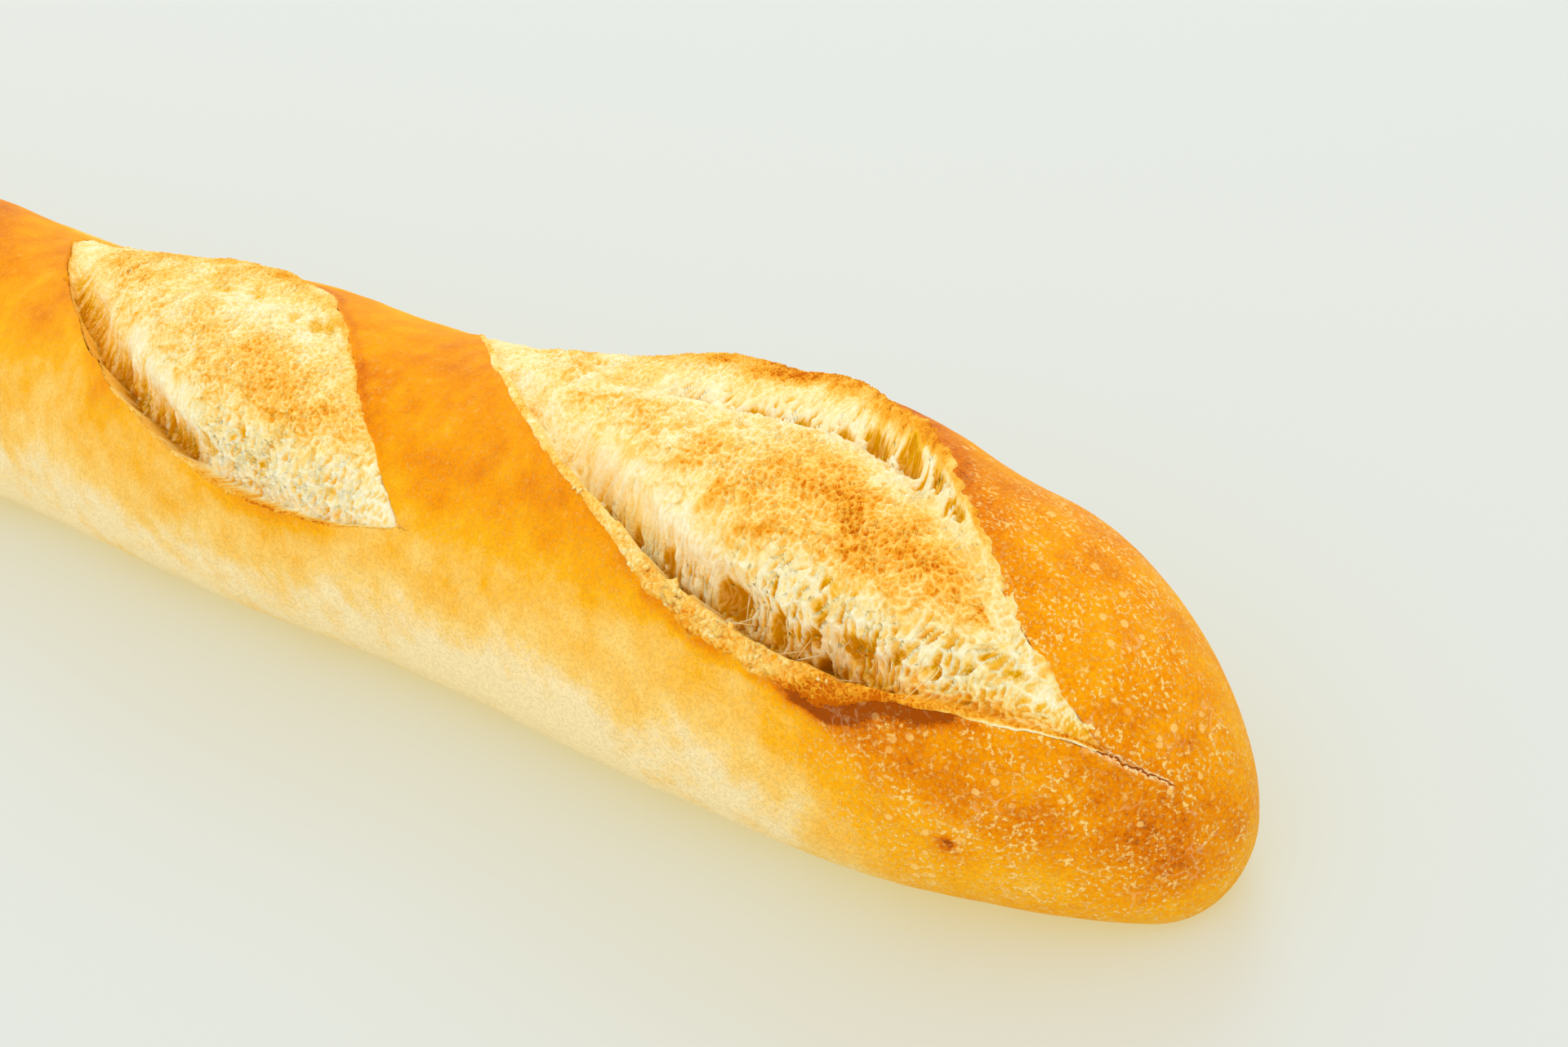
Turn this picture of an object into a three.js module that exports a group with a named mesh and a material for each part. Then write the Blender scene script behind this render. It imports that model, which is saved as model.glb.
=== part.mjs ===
// A baguette, in millimetres, +Z up. One loaf with two rounded heels, a flat base and a row
// of slanting openings along its crown, where the crust was scored and tore in the oven. Each
// opening has a rolled front lip, a groove behind it, the risen crumb and a raised back lip.
// The origin is on the base, in the middle of the loaf. +X runs to the front heel.
import * as THREE from "three";
import { mergeVertices } from "three/addons/utils/BufferGeometryUtils.js";

// Driving dimensions of the loaf
const LENGTH = 650;
const WIDTH = 61;
const HEIGHT = 50;
const TIP_HEIGHT = 17.2;
const WIDEST_LEVEL = 0.42; // height of the widest line, as a share of the section
const BASE_SINK = 1.5; // how far the round underside is pressed flat against the base
const UNDERSIDE_POWER = 0.7; // under 1 makes the underside fuller than an ellipse

// Each heel closes over these reaches, at its sides, over its top and under its base
const FRONT_HEEL = {
  side: { reach: 48, power: 1.72 },
  top: { reach: 36, power: 1.62 },
  base: { reach: 10, power: 2.23 },
};
const REAR_HEEL = {
  side: { reach: 58, power: 1.9 },
  top: { reach: 46, power: 1.75 },
  base: { reach: 12, power: 2.2 },
};

// The loaf isn't quite straight: each end drifts sideways over its reach
const FRONT_DRIFT = { sideways: -3.4, reach: 150 };
const REAR_DRIFT = { sideways: 4.5, reach: 260 };

// The openings, from the front heel back. start is measured from the front tip to where the
// tear begins on the back of the crown, and it runs length towards the tip as it crosses to
// the front. back, front and end are degrees round the loaf from the crown to the front: how
// far the opening reaches to the back and to the front, and where its two lips close. rim and
// ear are the heights of the front and back lips, groove and valley the depths inside them,
// dome the rise of the crumb and swell the widening of the loaf.
const OPENINGS = [
  {
    start: 158.5, length: 152.5, back: -42, front: 53, end: 45,
    rim: 1.8, ear: 5.2, groove: 7, valley: 3, dome: 3, swell: 2.9,
  },
  {
    start: 274, length: 148, back: -27, front: 62, end: 54,
    rim: 1.6, ear: 1.5, groove: 6, valley: 1, dome: 3.5, swell: 2.6,
  },
  {
    start: 395, length: 146, back: -36, front: 57, end: 50,
    rim: 2.2, ear: 2.4, groove: 6.5, valley: 2, dome: 3, swell: 2.6,
  },
  {
    start: 516, length: 147, back: -31, front: 60, end: 52,
    rim: 1.8, ear: 2.6, groove: 6, valley: 1.5, dome: 3.4, swell: 2.8,
  },
  {
    start: 637, length: 142, back: -33, front: 55, end: 48,
    rim: 2, ear: 3.4, groove: 6, valley: 2, dome: 2.8, swell: 2.4,
  },
];
const WAIST = 0.6; // how much the loaf draws in between two openings
const SWELL_REACH = 44;
const SWELL_RISE = 0.7; // share of a swell that also lifts the crown

// Where along an opening, from 0 to 1, its lips turn and close
const FRONT_LIP_PEAK = 0.8;
const FRONT_LIP_POWER = 0.82;
const BACK_LIP_TURN = 0.44;
const BACK_LIP_CLOSE = 0.95;
const EAR_RISE = [0.2, 0.4];
const EAR_FALL = [0.7, 0.92];

// Widths of the lips and hollows, measured across the opening
const RIM_OUTER = 7;
const RIM_INNER = 1.8;
const EAR_OUTER = 10;
const EAR_INNER = 4.5;
const GROOVE = { offset: 4.2, spread: 2.6 };
const VALLEY = { offset: 8.5, spread: 3 };
const FULL_SIZE_WIDTH = 24; // an opening narrower than this has shallower relief
const CROWN_RADIUS = 29; // turns degrees round the loaf into millimetres
const STEEPEST_LIP = 2.5;

// The surface grid: stations along the loaf, rows round it
const TIP_STATIONS = 12;
const TIP_REACH = 48;
const STATIONS = 113;
const ROWS = 52;
const UNDERSIDE_ANGLE = 115;
const UNDERSIDE_DENSITY = 0.4;
const LIP_DENSITY = 2.6;
const LIP_SPREAD = 8;
const DENSITY_STEPS = 360;

const WELD_TOLERANCE = 1e-4;
const EDGE_STEP = 1e-3;

const { clamp, degToRad, smoothstep } = THREE.MathUtils;

// How much of the full section is left at a distance from a tip
function taper(distance, { reach, power }) {
  const inward = clamp(1 - distance / reach, 0, 1);
  return (1 - inward ** power) ** (1 / power);
}

function drift(distance, { sideways, reach }) {
  return sideways * clamp(1 - distance / reach, 0, 1) ** 2;
}

// A bell that is 1 at zero and fades over its spread
function bell(distance, spread) {
  return Math.exp(-((distance / spread) ** 2));
}

function swellAt(fromFront) {
  const bulges = OPENINGS.map(({ start, length, swell }) => {
    return swell * bell(fromFront - start + length / 2, SWELL_REACH);
  });
  return bulges.reduce((sum, bulge) => sum + bulge, -WAIST);
}

// The plain cross-section at one station, before any opening
function sectionAt(x) {
  const fromFront = LENGTH / 2 - x;
  const fromRear = LENGTH / 2 + x;
  const swell = swellAt(fromFront);
  const shares = {};
  for (const part of ["side", "top", "base"]) {
    shares[part] = taper(fromFront, FRONT_HEEL[part]) * taper(fromRear, REAR_HEEL[part]);
  }
  const top = TIP_HEIGHT + (HEIGHT + SWELL_RISE * swell - TIP_HEIGHT) * shares.top;
  const underside = TIP_HEIGHT * (1 - shares.base);
  return {
    fromFront,
    fullness: shares.side,
    halfWidth: (WIDTH / 2 + swell) * shares.side,
    middle: underside + (top - underside) * WIDEST_LEVEL,
    top,
    bottom: underside - BASE_SINK * shares.base,
    sideways: drift(fromFront, FRONT_DRIFT) + drift(fromRear, REAR_DRIFT),
  };
}

// The front lip swings from the back of the crown to the front, and eases back as it closes
function frontLip({ back, front, end }, along) {
  const swing = Math.sin((Math.PI / 2) * clamp(along / FRONT_LIP_PEAK, 0, 1)) ** FRONT_LIP_POWER;
  return back + (front - back) * swing - (front - end) * smoothstep(along, FRONT_LIP_PEAK, 1);
}

// The back lip stays behind the crown, then swings across to meet the front lip
function backLip({ back, end }, along) {
  const turned = clamp((along - BACK_LIP_TURN) / (BACK_LIP_CLOSE - BACK_LIP_TURN), 0, 1);
  return back + (end - back) * (1 - Math.cos((Math.PI / 2) * turned));
}

// Distance of an angle in front of a lip, square to the lip's run, in millimetres
function distanceFromLip(lip, opening, along, angle) {
  const perDegree = degToRad(CROWN_RADIUS);
  const turn = lip(opening, along + EDGE_STEP) - lip(opening, along - EDGE_STEP);
  const slope = (turn * perDegree) / (2 * EDGE_STEP * opening.length);
  const steepness = clamp(slope, -STEEPEST_LIP, STEEPEST_LIP);
  return ((angle - lip(opening, along)) * perDegree) / Math.hypot(1, steepness);
}

// Height that one opening adds to the plain crust, or takes from it
function openingRelief(opening, fromFront, angle) {
  const along = (opening.start - fromFront) / opening.length;
  if (along <= EDGE_STEP || along >= 1 - EDGE_STEP) {
    return 0;
  }
  const insideFront = -distanceFromLip(frontLip, opening, along, angle);
  const insideBack = distanceFromLip(backLip, opening, along, angle);
  const strength = Math.sqrt(Math.sin(Math.PI * along));
  const earStrength = smoothstep(along, ...EAR_RISE) * (1 - smoothstep(along, ...EAR_FALL));
  const rimWidth = insideFront < 0 ? RIM_OUTER : RIM_INNER;
  const earWidth = insideBack < 0 ? EAR_OUTER : EAR_INNER;
  const lips = opening.rim * strength * bell(insideFront, rimWidth)
    + opening.ear * earStrength * bell(insideBack, earWidth);
  if (insideFront <= 0 || insideBack <= 0) {
    return lips;
  }
  const width = insideFront + insideBack;
  const across = insideBack / width;
  const crumb = opening.dome * Math.sqrt(4 * across * (1 - across))
    - opening.groove * bell(insideFront - GROOVE.offset, GROOVE.spread)
    - opening.valley * bell(insideBack - VALLEY.offset, VALLEY.spread);
  return lips + crumb * strength * Math.min(width / FULL_SIZE_WIDTH, 1);
}

// A point of the loaf's skin. angle is in degrees from the crown towards the front, -Y.
function skinPoint(x, angle) {
  const section = sectionAt(x);
  const { halfWidth, middle, top, bottom } = section;
  const sine = Math.sin(degToRad(angle));
  const cosine = Math.cos(degToRad(angle));
  const rise = cosine > 0
    ? (top - middle) * cosine
    : -(middle - bottom) * (-cosine) ** UNDERSIDE_POWER;
  let relief = 0;
  for (const opening of OPENINGS) {
    relief += openingRelief(opening, section.fromFront, angle);
  }
  relief *= section.fullness;
  const outY = -sine / Math.max(halfWidth, 1);
  const outZ = cosine / Math.max(top - middle, 1);
  const lift = relief / Math.hypot(outY, outZ);
  const y = section.sideways - halfWidth * sine + outY * lift;
  const z = Math.max(middle + rise + outZ * lift, 0);
  return new THREE.Vector3(x, y, z);
}

// Stations run from the front tip back, and crowd together where the heels close
function stationX(index) {
  const fromEnd = Math.min(index, STATIONS - index);
  let distance = TIP_REACH * (1 - Math.cos((Math.PI / 2) * (fromEnd / TIP_STATIONS)));
  if (fromEnd > TIP_STATIONS) {
    const spacing = (LENGTH / 2 - TIP_REACH) / (STATIONS / 2 - TIP_STATIONS);
    distance = TIP_REACH + (fromEnd - TIP_STATIONS) * spacing;
  }
  return Math.sign(STATIONS / 2 - index) * (LENGTH / 2 - distance);
}

// Rows gather along the lips, and are sparse under the loaf
function rowDensity(angle, fromFront) {
  let density = Math.abs(angle) > UNDERSIDE_ANGLE ? UNDERSIDE_DENSITY : 1;
  for (const opening of OPENINGS) {
    const along = (opening.start - fromFront) / opening.length;
    if (along > 0 && along < 1) {
      const near = bell(angle - frontLip(opening, along), LIP_SPREAD)
        + bell(angle - backLip(opening, along), LIP_SPREAD);
      density += LIP_DENSITY * Math.sin(Math.PI * along) * near;
    }
  }
  return density;
}

function rowAngles(x) {
  const step = 360 / DENSITY_STEPS;
  const totals = [0];
  for (let i = 0; i < DENSITY_STEPS; i += 1) {
    totals.push(totals[i] + rowDensity(-180 + (i + 0.5) * step, LENGTH / 2 - x));
  }
  const angles = [];
  let i = 0;
  for (let row = 0; row <= ROWS; row += 1) {
    const wanted = (totals[DENSITY_STEPS] * row) / ROWS;
    while (i < DENSITY_STEPS - 1 && totals[i + 1] < wanted) {
      i += 1;
    }
    angles.push(-180 + (i + (wanted - totals[i]) / (totals[i + 1] - totals[i])) * step);
  }
  angles[ROWS] = 180;
  return angles;
}

// A sphere's grid, with its poles at the two tips, laid over the loaf's skin
function loafGeometry() {
  const geometry = new THREE.SphereGeometry(1, ROWS, STATIONS);
  geometry.deleteAttribute("normal");
  geometry.deleteAttribute("uv");
  const positions = geometry.getAttribute("position");
  for (let station = 0; station <= STATIONS; station += 1) {
    const x = stationX(station);
    const angles = rowAngles(x);
    for (let row = 0; row <= ROWS; row += 1) {
      const { y, z } = skinPoint(x, angles[row]);
      positions.setXYZ(station * (ROWS + 1) + row, x, y, z);
    }
  }
  const welded = mergeVertices(geometry, WELD_TOLERANCE);
  welded.computeBoundingBox();
  const centre = welded.boundingBox.getCenter(new THREE.Vector3());
  welded.translate(-centre.x, -centre.y, 0);
  welded.computeVertexNormals();
  return welded;
}

function bakedCrust() {
  return new THREE.MeshStandardMaterial({ color: 0xe6a24a, roughness: 0.72, metalness: 0 });
}

const loaf = new THREE.Mesh(loafGeometry(), bakedCrust());
loaf.name = "loaf";

const baguette = new THREE.Group();
baguette.add(loaf);

export default baguette;
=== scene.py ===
"""A baguette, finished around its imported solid.

One crust, a sheet of torn crumb in each of its openings, the flakes and strands that the
tear left, and a plain pale stage. The loaf's own sizes are in millimetres, and a mesh is
brought to metres when it is written.
"""
import math
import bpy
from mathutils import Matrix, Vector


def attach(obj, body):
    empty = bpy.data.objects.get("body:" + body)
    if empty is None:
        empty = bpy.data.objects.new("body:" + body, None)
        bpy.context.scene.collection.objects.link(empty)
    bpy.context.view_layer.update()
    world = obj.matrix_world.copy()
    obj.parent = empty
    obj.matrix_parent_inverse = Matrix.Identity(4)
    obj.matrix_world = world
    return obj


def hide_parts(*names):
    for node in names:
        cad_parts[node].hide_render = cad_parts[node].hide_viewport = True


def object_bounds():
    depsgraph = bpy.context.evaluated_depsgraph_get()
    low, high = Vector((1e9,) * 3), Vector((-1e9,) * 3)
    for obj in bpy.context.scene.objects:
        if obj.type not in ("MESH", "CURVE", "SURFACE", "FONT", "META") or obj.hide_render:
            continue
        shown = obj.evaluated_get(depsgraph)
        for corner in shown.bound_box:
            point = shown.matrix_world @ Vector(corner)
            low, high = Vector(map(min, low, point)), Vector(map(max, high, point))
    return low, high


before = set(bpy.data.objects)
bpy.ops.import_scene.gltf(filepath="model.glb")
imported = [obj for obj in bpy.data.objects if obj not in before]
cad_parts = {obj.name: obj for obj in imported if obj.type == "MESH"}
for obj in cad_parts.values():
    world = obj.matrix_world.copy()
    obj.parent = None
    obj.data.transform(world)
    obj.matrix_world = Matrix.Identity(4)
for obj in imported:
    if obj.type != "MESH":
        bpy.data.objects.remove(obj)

from types import SimpleNamespace
from typing import NamedTuple

import bmesh
import bpy
import numpy as np
from mathutils import Matrix, Vector

bl_info = {
    "name": "Baguette",
    "version": (1, 0, 0),
    "blender": (4, 5, 0),
    "location": "3D View > Sidebar > Baguette",
    "description": "Bakes the crust, the torn crumb and the stage of a baguette",
    "category": "Add Mesh",
}

CAD_BOX = [list(corner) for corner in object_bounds()]
MM = 0.001

# The loaf
LENGTH = (CAD_BOX[1][0] - CAD_BOX[0][0]) / MM
WIDTH = 61.0
HEIGHT = 50.0
TIP_HEIGHT = 17.2
WIDEST_LEVEL = 0.42
BASE_SINK = 1.5
UNDERSIDE_POWER = 0.7
FRONT_HEEL = {"side": (48.0, 1.72), "top": (36.0, 1.62), "base": (10.0, 2.23)}
REAR_HEEL = {"side": (58.0, 1.9), "top": (46.0, 1.75), "base": (12.0, 2.2)}
FRONT_DRIFT = (-3.4, 150.0)
REAR_DRIFT = (4.5, 260.0)
WAIST = 0.6
SWELL_REACH = 44.0
SWELL_RISE = 0.7
CROWN_RADIUS = 29.0
PER_DEGREE = math.radians(CROWN_RADIUS)


class Opening(NamedTuple):
    """One tear: where it starts, how far round it reaches, its heights, and where it is deep.

    shelf is how toasted its crumb is along the last of the near lip, and lap is how far crumb
    laps over the crust.
    """

    start: float
    length: float
    back: float
    front: float
    end: float
    rim: float
    ear: float
    groove: float
    valley: float
    dome: float
    swell: float
    deep_from: float
    deep_to: float
    shelf: float
    lap: float


OPENINGS = (
    Opening(158.5, 152.5, -42, 53, 45, 1.8, 5.2, 7.0, 3.0, 3.0, 2.9, 0.36, 0.76, 0.42, 1.0),
    Opening(274, 148, -27, 62, 54, 1.6, 1.5, 6.0, 1.0, 3.5, 2.6, 0.14, 0.58, 0.0, 0.1),
    Opening(395, 146, -36, 57, 50, 2.2, 2.4, 6.5, 2.0, 3.0, 2.6, 0.30, 0.74, 0.3, 0.7),
    Opening(516, 147, -31, 60, 52, 1.8, 2.6, 6.0, 1.5, 3.4, 2.8, 0.20, 0.64, 0.1, 0.3),
    Opening(637, 142, -33, 55, 48, 2.0, 3.4, 6.0, 2.0, 2.8, 2.4, 0.32, 0.78, 0.25, 0.8),
)
FRONT_LIP_PEAK = 0.8
FRONT_LIP_POWER = 0.82
BACK_LIP_TURN = 0.44
BACK_LIP_CLOSE = 0.95
EAR_RISE = (0.2, 0.4)
EAR_FALL = (0.7, 0.92)
RIM_OUTER = 7.0
EAR_OUTER = 10.0
FULL_SIZE_WIDTH = 24.0
STEEPEST_LIP = 2.5
EDGE_STEP = 1e-3

# Along an opening: where its near lip is crumbly, where it is browned, and where it closes
LIP_SPLITS = (0.36, 0.42)
CRUMBLY_FROM = (0.40, 0.60)
CRUMBLY_TO = (0.73, 0.80)
BROWNED_FROM = (0.65, 0.76)
BROWNED_TO = (0.82, 0.89)
TAIL = (0.935, 0.965)

# How far crumb laps over the crust outside each lip, and how far in the crumbly band reaches:
# at the start, after the lip splits, and how much it narrows where BAND_NARROWS says
LAP_EARLY = 0.8
LAP_THIN = 0.3
LAP_CRUMBLY = 3.2
LAP_BACK = 0.5
BAND_INNER = (0.3, 1.3, 1.3)
BAND_NARROWS = (0.42, 0.60)

# How high crumb lies over the crust, how deep it goes where it runs under it, and how far its
# sheet reaches past the front and the back lip
LAP_LIFT = 0.25
LAP_DIVE = 1.8
LAP_ROOM = (6.0, 3.0)

# The crust's turn under a lip
LIP_WALL = 3.6
LIP_RETURN = 13.0
LIP_UNDERCUT = 3.8
FLOOR_BELOW_GROOVE = 5.5

# The crust's grid
CRUST_STATIONS = 440
STATION_SAMPLES = 4001
FINE_REACH = 175.0
FINE_FADE = 60.0
FINE_DENSITY = 2.4
TIP_DENSITIES = ((3.0, 14.0), (12.0, 2.0))
CRUST_ROWS = 214
BALL_RADIUS = 100.0
ROW_SAMPLES = 720
UNDERSIDE_ANGLE = 120.0
UNDERSIDE_DENSITY = 0.45
HIDDEN_DENSITY = 0.45
HIDDEN_MARGINS = (8.0, 10.0)
LIP_DENSITY = 3.4
LIP_SPREAD = 5.0

# What noise is made with: the numbers that scatter its draws, and how each octave weakens
HASH_STEPS = (374761393, 668265263, 1103515245, 1274126177)
HASH_MASK = 0xFFFFFFFF
OCTAVE_FADE = 0.55


# ---------------------------------------------------------------- numbers

def smooth(value, low, high):
    """0 below low, 1 above high, and an even S between them."""
    share = np.clip((value - low) / (high - low), 0.0, 1.0)
    return share * share * (3.0 - 2.0 * share)


def bell(distance, spread):
    return np.exp(-((distance / spread) ** 2))


def blend(low, high, share):
    return low + (high - low) * share


def hashed(cell_x, cell_y, cell_z, seed):
    """A repeatable random number from 0 to 1 for each whole-number cell."""
    mixed = seed * HASH_STEPS[3]
    for cell, step in zip((cell_x, cell_y, cell_z), HASH_STEPS):
        mixed = mixed + cell.astype(np.int64) * step
    mixed = mixed & HASH_MASK
    mixed = ((mixed ^ (mixed >> 13)) * HASH_STEPS[3]) & HASH_MASK
    mixed = ((mixed ^ (mixed >> 16)) * HASH_STEPS[1]) & HASH_MASK
    return (mixed ^ (mixed >> 15)) / HASH_MASK


def noise(x, y, z, seed):
    """Smooth noise from -1 to 1 that changes over one unit."""
    corner = [np.floor(axis) for axis in (x, y, z)]
    part = [axis - low for axis, low in zip((x, y, z), corner)]
    ease = [p * p * p * (p * (p * 6.0 - 15.0) + 10.0) for p in part]
    total = 0.0
    for bits in range(8):
        step = (bits & 1, bits >> 1 & 1, bits >> 2)
        weight = 1.0
        for share, up in zip(ease, step):
            weight = weight * (share if up else 1.0 - share)
        total = total + weight * hashed(*(low + up for low, up in zip(corner, step)), seed)
    return total * 2.0 - 1.0


def cloud(x, y, z, size, octaves, seed):
    """Noise in several sizes, each half as large as the one before and weaker."""
    total, strength, reach = 0.0, 1.0, 0.0
    for octave in range(octaves):
        scale = 2.0**octave / size
        total = total + strength * noise(x * scale, y * scale, z * scale, seed + octave)
        reach += strength
        strength *= OCTAVE_FADE
    return total / reach


def cells(x, y, size, seed):
    """Irregular cells: how far inside its own cell a point lies, and the cell's random draw."""
    x, y = x / size, y / size
    cell_x, cell_y = np.floor(x), np.floor(y)
    nearest = np.full_like(x, 9.0)
    second = np.full_like(x, 9.0)
    draw = np.zeros_like(x)
    for step_x in (-1, 0, 1):
        for step_y in (-1, 0, 1):
            at_x, at_y = cell_x + step_x, cell_y + step_y
            zero = np.zeros_like(at_x)
            centre_x = at_x + hashed(at_x, at_y, zero, seed)
            centre_y = at_y + hashed(at_x, at_y, zero, seed + 1)
            away = np.hypot(x - centre_x, y - centre_y)
            closer = away < nearest
            second = np.where(closer, nearest, np.minimum(second, away))
            draw = np.where(closer, hashed(at_x, at_y, zero, seed + 2), draw)
            nearest = np.where(closer, away, nearest)
    return second - nearest, draw


def draws(count, seed, low=0.0, high=1.0):
    """A row of repeatable random numbers."""
    number = np.arange(count)
    zero = np.zeros(count)
    return blend(low, high, hashed(number, zero, zero, seed))


# ---------------------------------------------------------------- the loaf's form

def taper(distance, reach, power):
    inward = np.clip(1.0 - distance / reach, 0.0, 1.0)
    return (1.0 - inward**power) ** (1.0 / power)


def drift(distance, sideways, reach):
    return sideways * np.clip(1.0 - distance / reach, 0.0, 1.0) ** 2


def section_at(x):
    """The plain cross-section at each x, before any opening."""
    from_front = LENGTH / 2 - x
    from_rear = LENGTH / 2 + x
    swell = -WAIST
    for opening in OPENINGS:
        middle = opening.start - opening.length / 2
        swell = swell + opening.swell * bell(from_front - middle, SWELL_REACH)
    share = {
        part: taper(from_front, *FRONT_HEEL[part]) * taper(from_rear, *REAR_HEEL[part])
        for part in ("side", "top", "base")
    }
    top = TIP_HEIGHT + (HEIGHT + SWELL_RISE * swell - TIP_HEIGHT) * share["top"]
    underside = TIP_HEIGHT * (1.0 - share["base"])
    return SimpleNamespace(
        x=x,
        from_front=from_front,
        from_rear=from_rear,
        fullness=share["side"],
        half_width=(WIDTH / 2 + swell) * share["side"],
        top=top,
        middle=underside + (top - underside) * WIDEST_LEVEL,
        bottom=underside - BASE_SINK * share["base"],
        sideways=drift(from_front, *FRONT_DRIFT) + drift(from_rear, *REAR_DRIFT),
    )


def side_centre():
    """How far the loaf's middle lies to one side before it is centred on its frame."""
    section = section_at(np.linspace(-LENGTH / 2, LENGTH / 2, 2000))
    left = np.max(section.sideways + section.half_width)
    right = np.min(section.sideways - section.half_width)
    return float(left + right) / 2


SIDE_CENTRE = side_centre()


def place(section, angle, lift):
    """Points on the loaf, lifted off its plain skin. Angles run from the crown to the front."""
    turned = np.radians(angle)
    sine, cosine = np.sin(turned), np.cos(turned)
    above = (section.top - section.middle) * cosine
    below = -(section.middle - section.bottom) * np.abs(cosine) ** UNDERSIDE_POWER
    out_y = -sine / np.maximum(section.half_width, 1.0)
    out_z = cosine / np.maximum(section.top - section.middle, 1.0)
    scale = lift / np.hypot(out_y, out_z)
    y = section.sideways - section.half_width * sine + out_y * scale - SIDE_CENTRE
    z = section.middle + np.where(cosine > 0, above, below) + out_z * scale
    return np.stack([section.x, y, np.maximum(z, 0.0)], axis=-1)


def outward_from(section, points):
    """The direction from the loaf's core line to each point, and the distance."""
    core = np.stack([section.x, section.sideways - SIDE_CENTRE, section.middle], axis=-1)
    outward = points - core
    distance = np.linalg.norm(outward, axis=-1, keepdims=True)
    return outward / distance, distance


def front_lip(opening, along):
    swing = np.sin(math.pi / 2 * np.clip(along / FRONT_LIP_PEAK, 0, 1)) ** FRONT_LIP_POWER
    eased = (opening.front - opening.end) * smooth(along, FRONT_LIP_PEAK, 1.0)
    return opening.back + (opening.front - opening.back) * swing - eased


def back_lip(opening, along):
    turned = np.clip((along - BACK_LIP_TURN) / (BACK_LIP_CLOSE - BACK_LIP_TURN), 0, 1)
    return opening.back + (opening.end - opening.back) * (1 - np.cos(math.pi / 2 * turned))


def lip_steepness(lip, opening, along):
    """How much longer a lip's own run is than the loaf's."""
    turn = lip(opening, along + EDGE_STEP) - lip(opening, along - EDGE_STEP)
    slope = turn * PER_DEGREE / (2 * EDGE_STEP * opening.length)
    return np.hypot(1.0, np.clip(slope, -STEEPEST_LIP, STEEPEST_LIP))


def opening_marks(opening, section, angle):
    """Where points lie in an opening: along it, and inside its front and back lips."""
    along = (opening.start - section.from_front) / opening.length
    held = np.clip(along, 2 * EDGE_STEP, 1 - 2 * EDGE_STEP)
    front, back = front_lip(opening, held), back_lip(opening, held)
    strength = np.sqrt(np.sin(math.pi * held))
    return SimpleNamespace(
        along=along,
        within=(along > 0) & (along < 1),
        middle=(front + back) / 2,
        front=(front - angle) * PER_DEGREE / lip_steepness(front_lip, opening, held),
        back=(angle - back) * PER_DEGREE / lip_steepness(back_lip, opening, held),
        room=np.clip((front - back) * PER_DEGREE / FULL_SIZE_WIDTH, 0.08, 1.0),
        strength=strength,
        full=strength * section.fullness,
        ear=smooth(held, *EAR_RISE) * (1 - smooth(held, *EAR_FALL)),
        crumbly=smooth(held, *CRUMBLY_FROM) * (1 - smooth(held, *CRUMBLY_TO)) * opening.lap,
        browned=smooth(held, *BROWNED_FROM) * (1 - smooth(held, *BROWNED_TO)),
    )


def torn_lips(opening, section, angle, flat):
    """An opening's marks with lips that wander, and how far crumb laps over each of them."""
    marks = opening_marks(opening, section, angle)
    x, y, z = np.moveaxis(flat, -1, 0)
    wander = 0.9 * cloud(x, y, z, 7.0, 4, 23) * marks.strength
    marks.front = marks.front + wander
    marks.back = marks.back - 1.2 * wander
    fray = cloud(x, y, z, 2.2, 4, 29)
    split = smooth(marks.along, *LIP_SPLITS)
    late = smooth(marks.along, *CRUMBLY_TO)
    lap = blend(LAP_EARLY * opening.lap, LAP_THIN + LAP_CRUMBLY * marks.crumbly, split)
    marks.front_lap = lap + blend(0.25, 1.1, marks.crumbly * (1 - 0.6 * marks.browned)) * fray
    marks.back_lap = (LAP_BACK + 1.7 * fray) * blend(0.3, 1.0, opening.lap)
    drawn_in = BAND_INNER[2] * smooth(marks.along, *BAND_NARROWS) * (1 - 0.6 * late)
    inner = blend(BAND_INNER[0], BAND_INNER[1], split) - drawn_in + 1.1 * fray * marks.crumbly
    marks.band = np.maximum(inner, 0.1) * opening.lap
    return marks


def skin_wave(flat, fullness):
    """The loaf's gentle unevenness."""
    x, y, z = np.moveaxis(flat, -1, 0)
    return (0.55 * cloud(x, y, z, 38.0, 2, 11) + 0.2 * cloud(x, y, z, 9.0, 3, 17)) * fullness


def lip_heights(opening, section, marks):
    """How far the crust rises towards the front lip and towards the ear."""
    front = opening.rim * marks.full * bell(np.minimum(marks.front, 0.0), RIM_OUTER)
    back = opening.ear * marks.ear * bell(np.minimum(marks.back, 0.0), EAR_OUTER)
    return front, back * section.fullness


# ---------------------------------------------------------------- the crust

# The crack in the front heel: from where to where along its opening, and how near the tip
CRACK_FROM = (0.88, 0.92)
CRACK_TO = (0.985, 1.02)
CRACK_NEAR = (4.5, 7.5)
CRACK_FAR = (30.0, 50.0)
CRACK_AWAY = 6.0

# The bake: its plain level, the bands of angle where it pales or browns, and how far in from
# its tip each heel is baked all round
PLAIN_BAKE = 0.65
SHADED_BANDS = ((28.0, 60.0, 0.31), (60.0, 96.0, 0.34))
UNDERSIDE_BAND = (125.0, 150.0)
UNDERSIDE_BAKE = 0.34
HEEL_FADE = (22.0, 64.0)
FAR_HEEL_FADE = (20.0, 90.0)

# From the tip, angle, size and strength
SCORCH_SPOTS = (
    (9.0, 64.0, 10.0, 0.14), (4.0, 82.0, 8.0, 0.14), (27.5, 79.0, 6.0, 0.10),
    (29.8, 90.0, 1.1, 0.5), (644.0, -30.0, 12.0, 0.18),
)


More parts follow.
